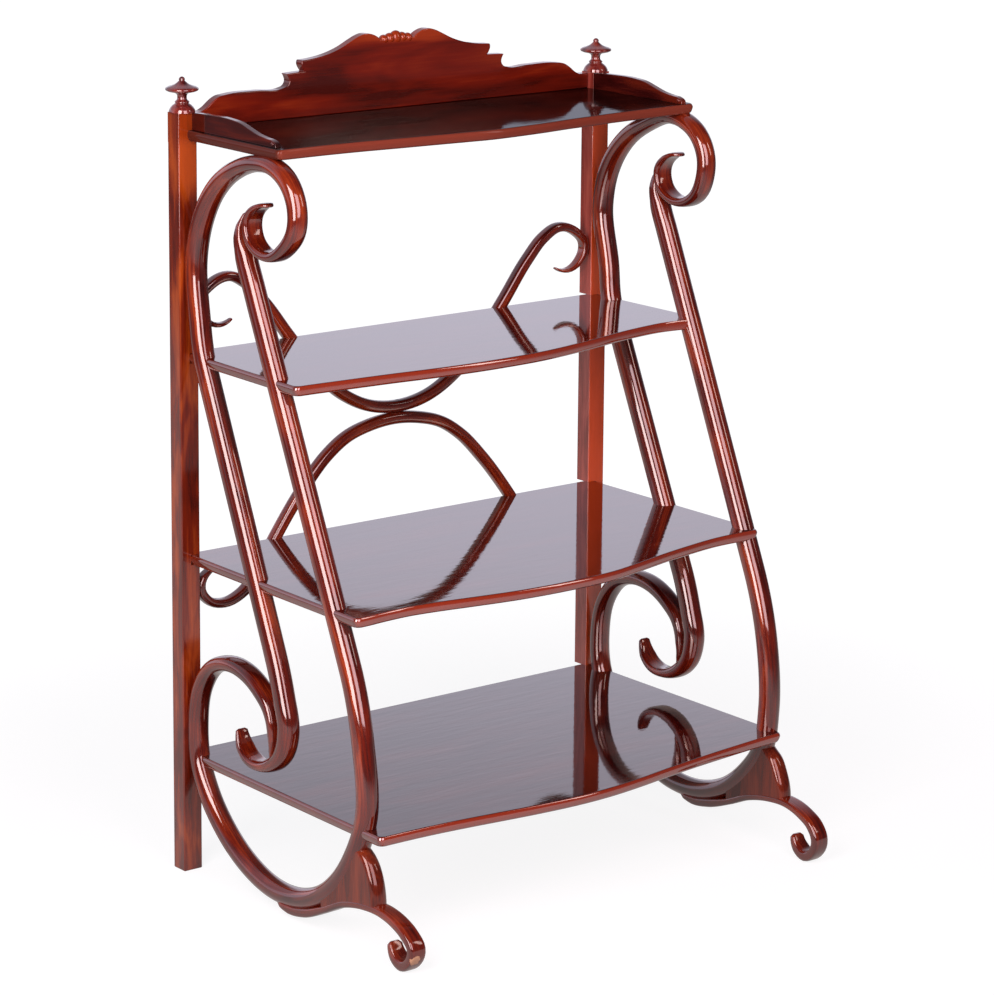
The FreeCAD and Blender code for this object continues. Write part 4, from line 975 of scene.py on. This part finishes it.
# %% Finials
# radius and height above the block
FINIAL = [(19, 0), (19, 2.4), (18.2, 4.5), (16.5, 7.5), (13.5, 10.5), (10.5, 12.5), (9.6, 13.4),
          (10.6, 14.4), (10.6, 15.6), (9.2, 16.8), (7.4, 18.5), (6.9, 21), (7.0, 24), (8.2, 26.5),
          (11, 28.4), (16, 29.3), (20.5, 30.4), (23.4, 31.8), (24.4, 33.6), (23.8, 35.2),
          (21, 36.8), (16, 38.4), (11, 40.4), (8, 42.5), (5.6, 44.6), (4.2, 45.9),
          (4.1, 46.5), (4.5, 47.9), (4.1, 49.4), (2.8, 50.9), (0.9, 51.7), (0, 51.8)]
TURNED_STEPS = 48
for side in SIDES:
    low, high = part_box("finial_" + side)
    x, y = (low[0] + high[0]) / 2, (low[1] + high[1]) / 2
    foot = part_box("gallery_block_" + side)[1][2]
    bpy.ops.mesh.primitive_plane_add(size=0.01, location=(0, 0, 0))
    finial = bpy.context.object
    finial.name = "finial_turned_" + side
    bpy.ops.object.mode_set(mode="EDIT")
    bpy.ops.mesh.delete(type="VERT")
    mesh = bmesh.from_edit_mesh(finial.data)
    corners = [mesh.verts.new((x + r * MM, y, foot + z * MM)) for r, z in [(0, 0)] + FINIAL]
    for a, b in zip(corners, corners[1:]):
        mesh.edges.new((a, b))
    bmesh.update_edit_mesh(finial.data)
    bpy.ops.mesh.select_all(action="SELECT")
    bpy.ops.mesh.spin(steps=TURNED_STEPS, angle=2 * math.pi, center=(x, y, 0), axis=(0, 0, 1))
    bpy.ops.mesh.select_all(action="SELECT")
    bpy.ops.mesh.remove_doubles(threshold=1e-5)
    bpy.ops.mesh.normals_make_consistent(inside=False)
    bpy.ops.object.mode_set(mode="OBJECT")
    bpy.ops.object.shade_smooth_by_angle(angle=math.radians(50))
    hand_over(finial, "turned_wood", turned_polish, "finial_" + side)
    print(finial.name, "corners", len(finial.data.vertices))

# %% [markdown]
# ## Solids that keep their own shape
# Posts and blocks are plain square stock, and the solids already have it. They only get
# their finish and slightly eased edges. Dowels and screws get a finish too: the dowels are
# bare beech, but the ends of those in the shelves were polished over.


# %% Finish the carried-over solids
def paint_node(name, material):
    """Give a carried-over solid its finish."""
    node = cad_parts[name]
    node.data.materials.clear()
    node.data.materials.append(material)


bare_beech = mahogany("bare_beech", "object", X_GRAIN, "#8A6A45", "#A98456", "#C4A06C",
                      polish=0.5)
steel = bpy.data.materials.new("screw_steel")
steel.use_nodes = True
for socket, value in (("Metallic", 1.0), ("Base Color", srgb("#8E8A84")), ("Roughness", 0.4)):
    steel.node_tree.nodes["Principled BSDF"].inputs[socket].default_value = value
EDGE_EASE = 1.2 * MM
for side in SIDES:
    # both posts carry painted orange light on the front; on the left post it is only at the top
    finish = left_post_polish if side == "left" else post_polish
    for name in ("post_" + side, "gallery_block_" + side):
        paint_node(name, finish)
        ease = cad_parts[name].modifiers.new("eased_edges", "BEVEL")
        ease.width, ease.segments, ease.limit_method = EDGE_EASE, 2, "ANGLE"
FITTINGS = {"shelf_dowels": shelf_polish, "post_dowels": bare_beech,
            "gallery_dowels": bare_beech, "post_screws": steel, "lyre_screws": steel,
            "foot_screws": steel}
for name, finish in FITTINGS.items():
    paint_node(name, finish)
print("carried over:", [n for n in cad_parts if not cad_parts[n].hide_render])
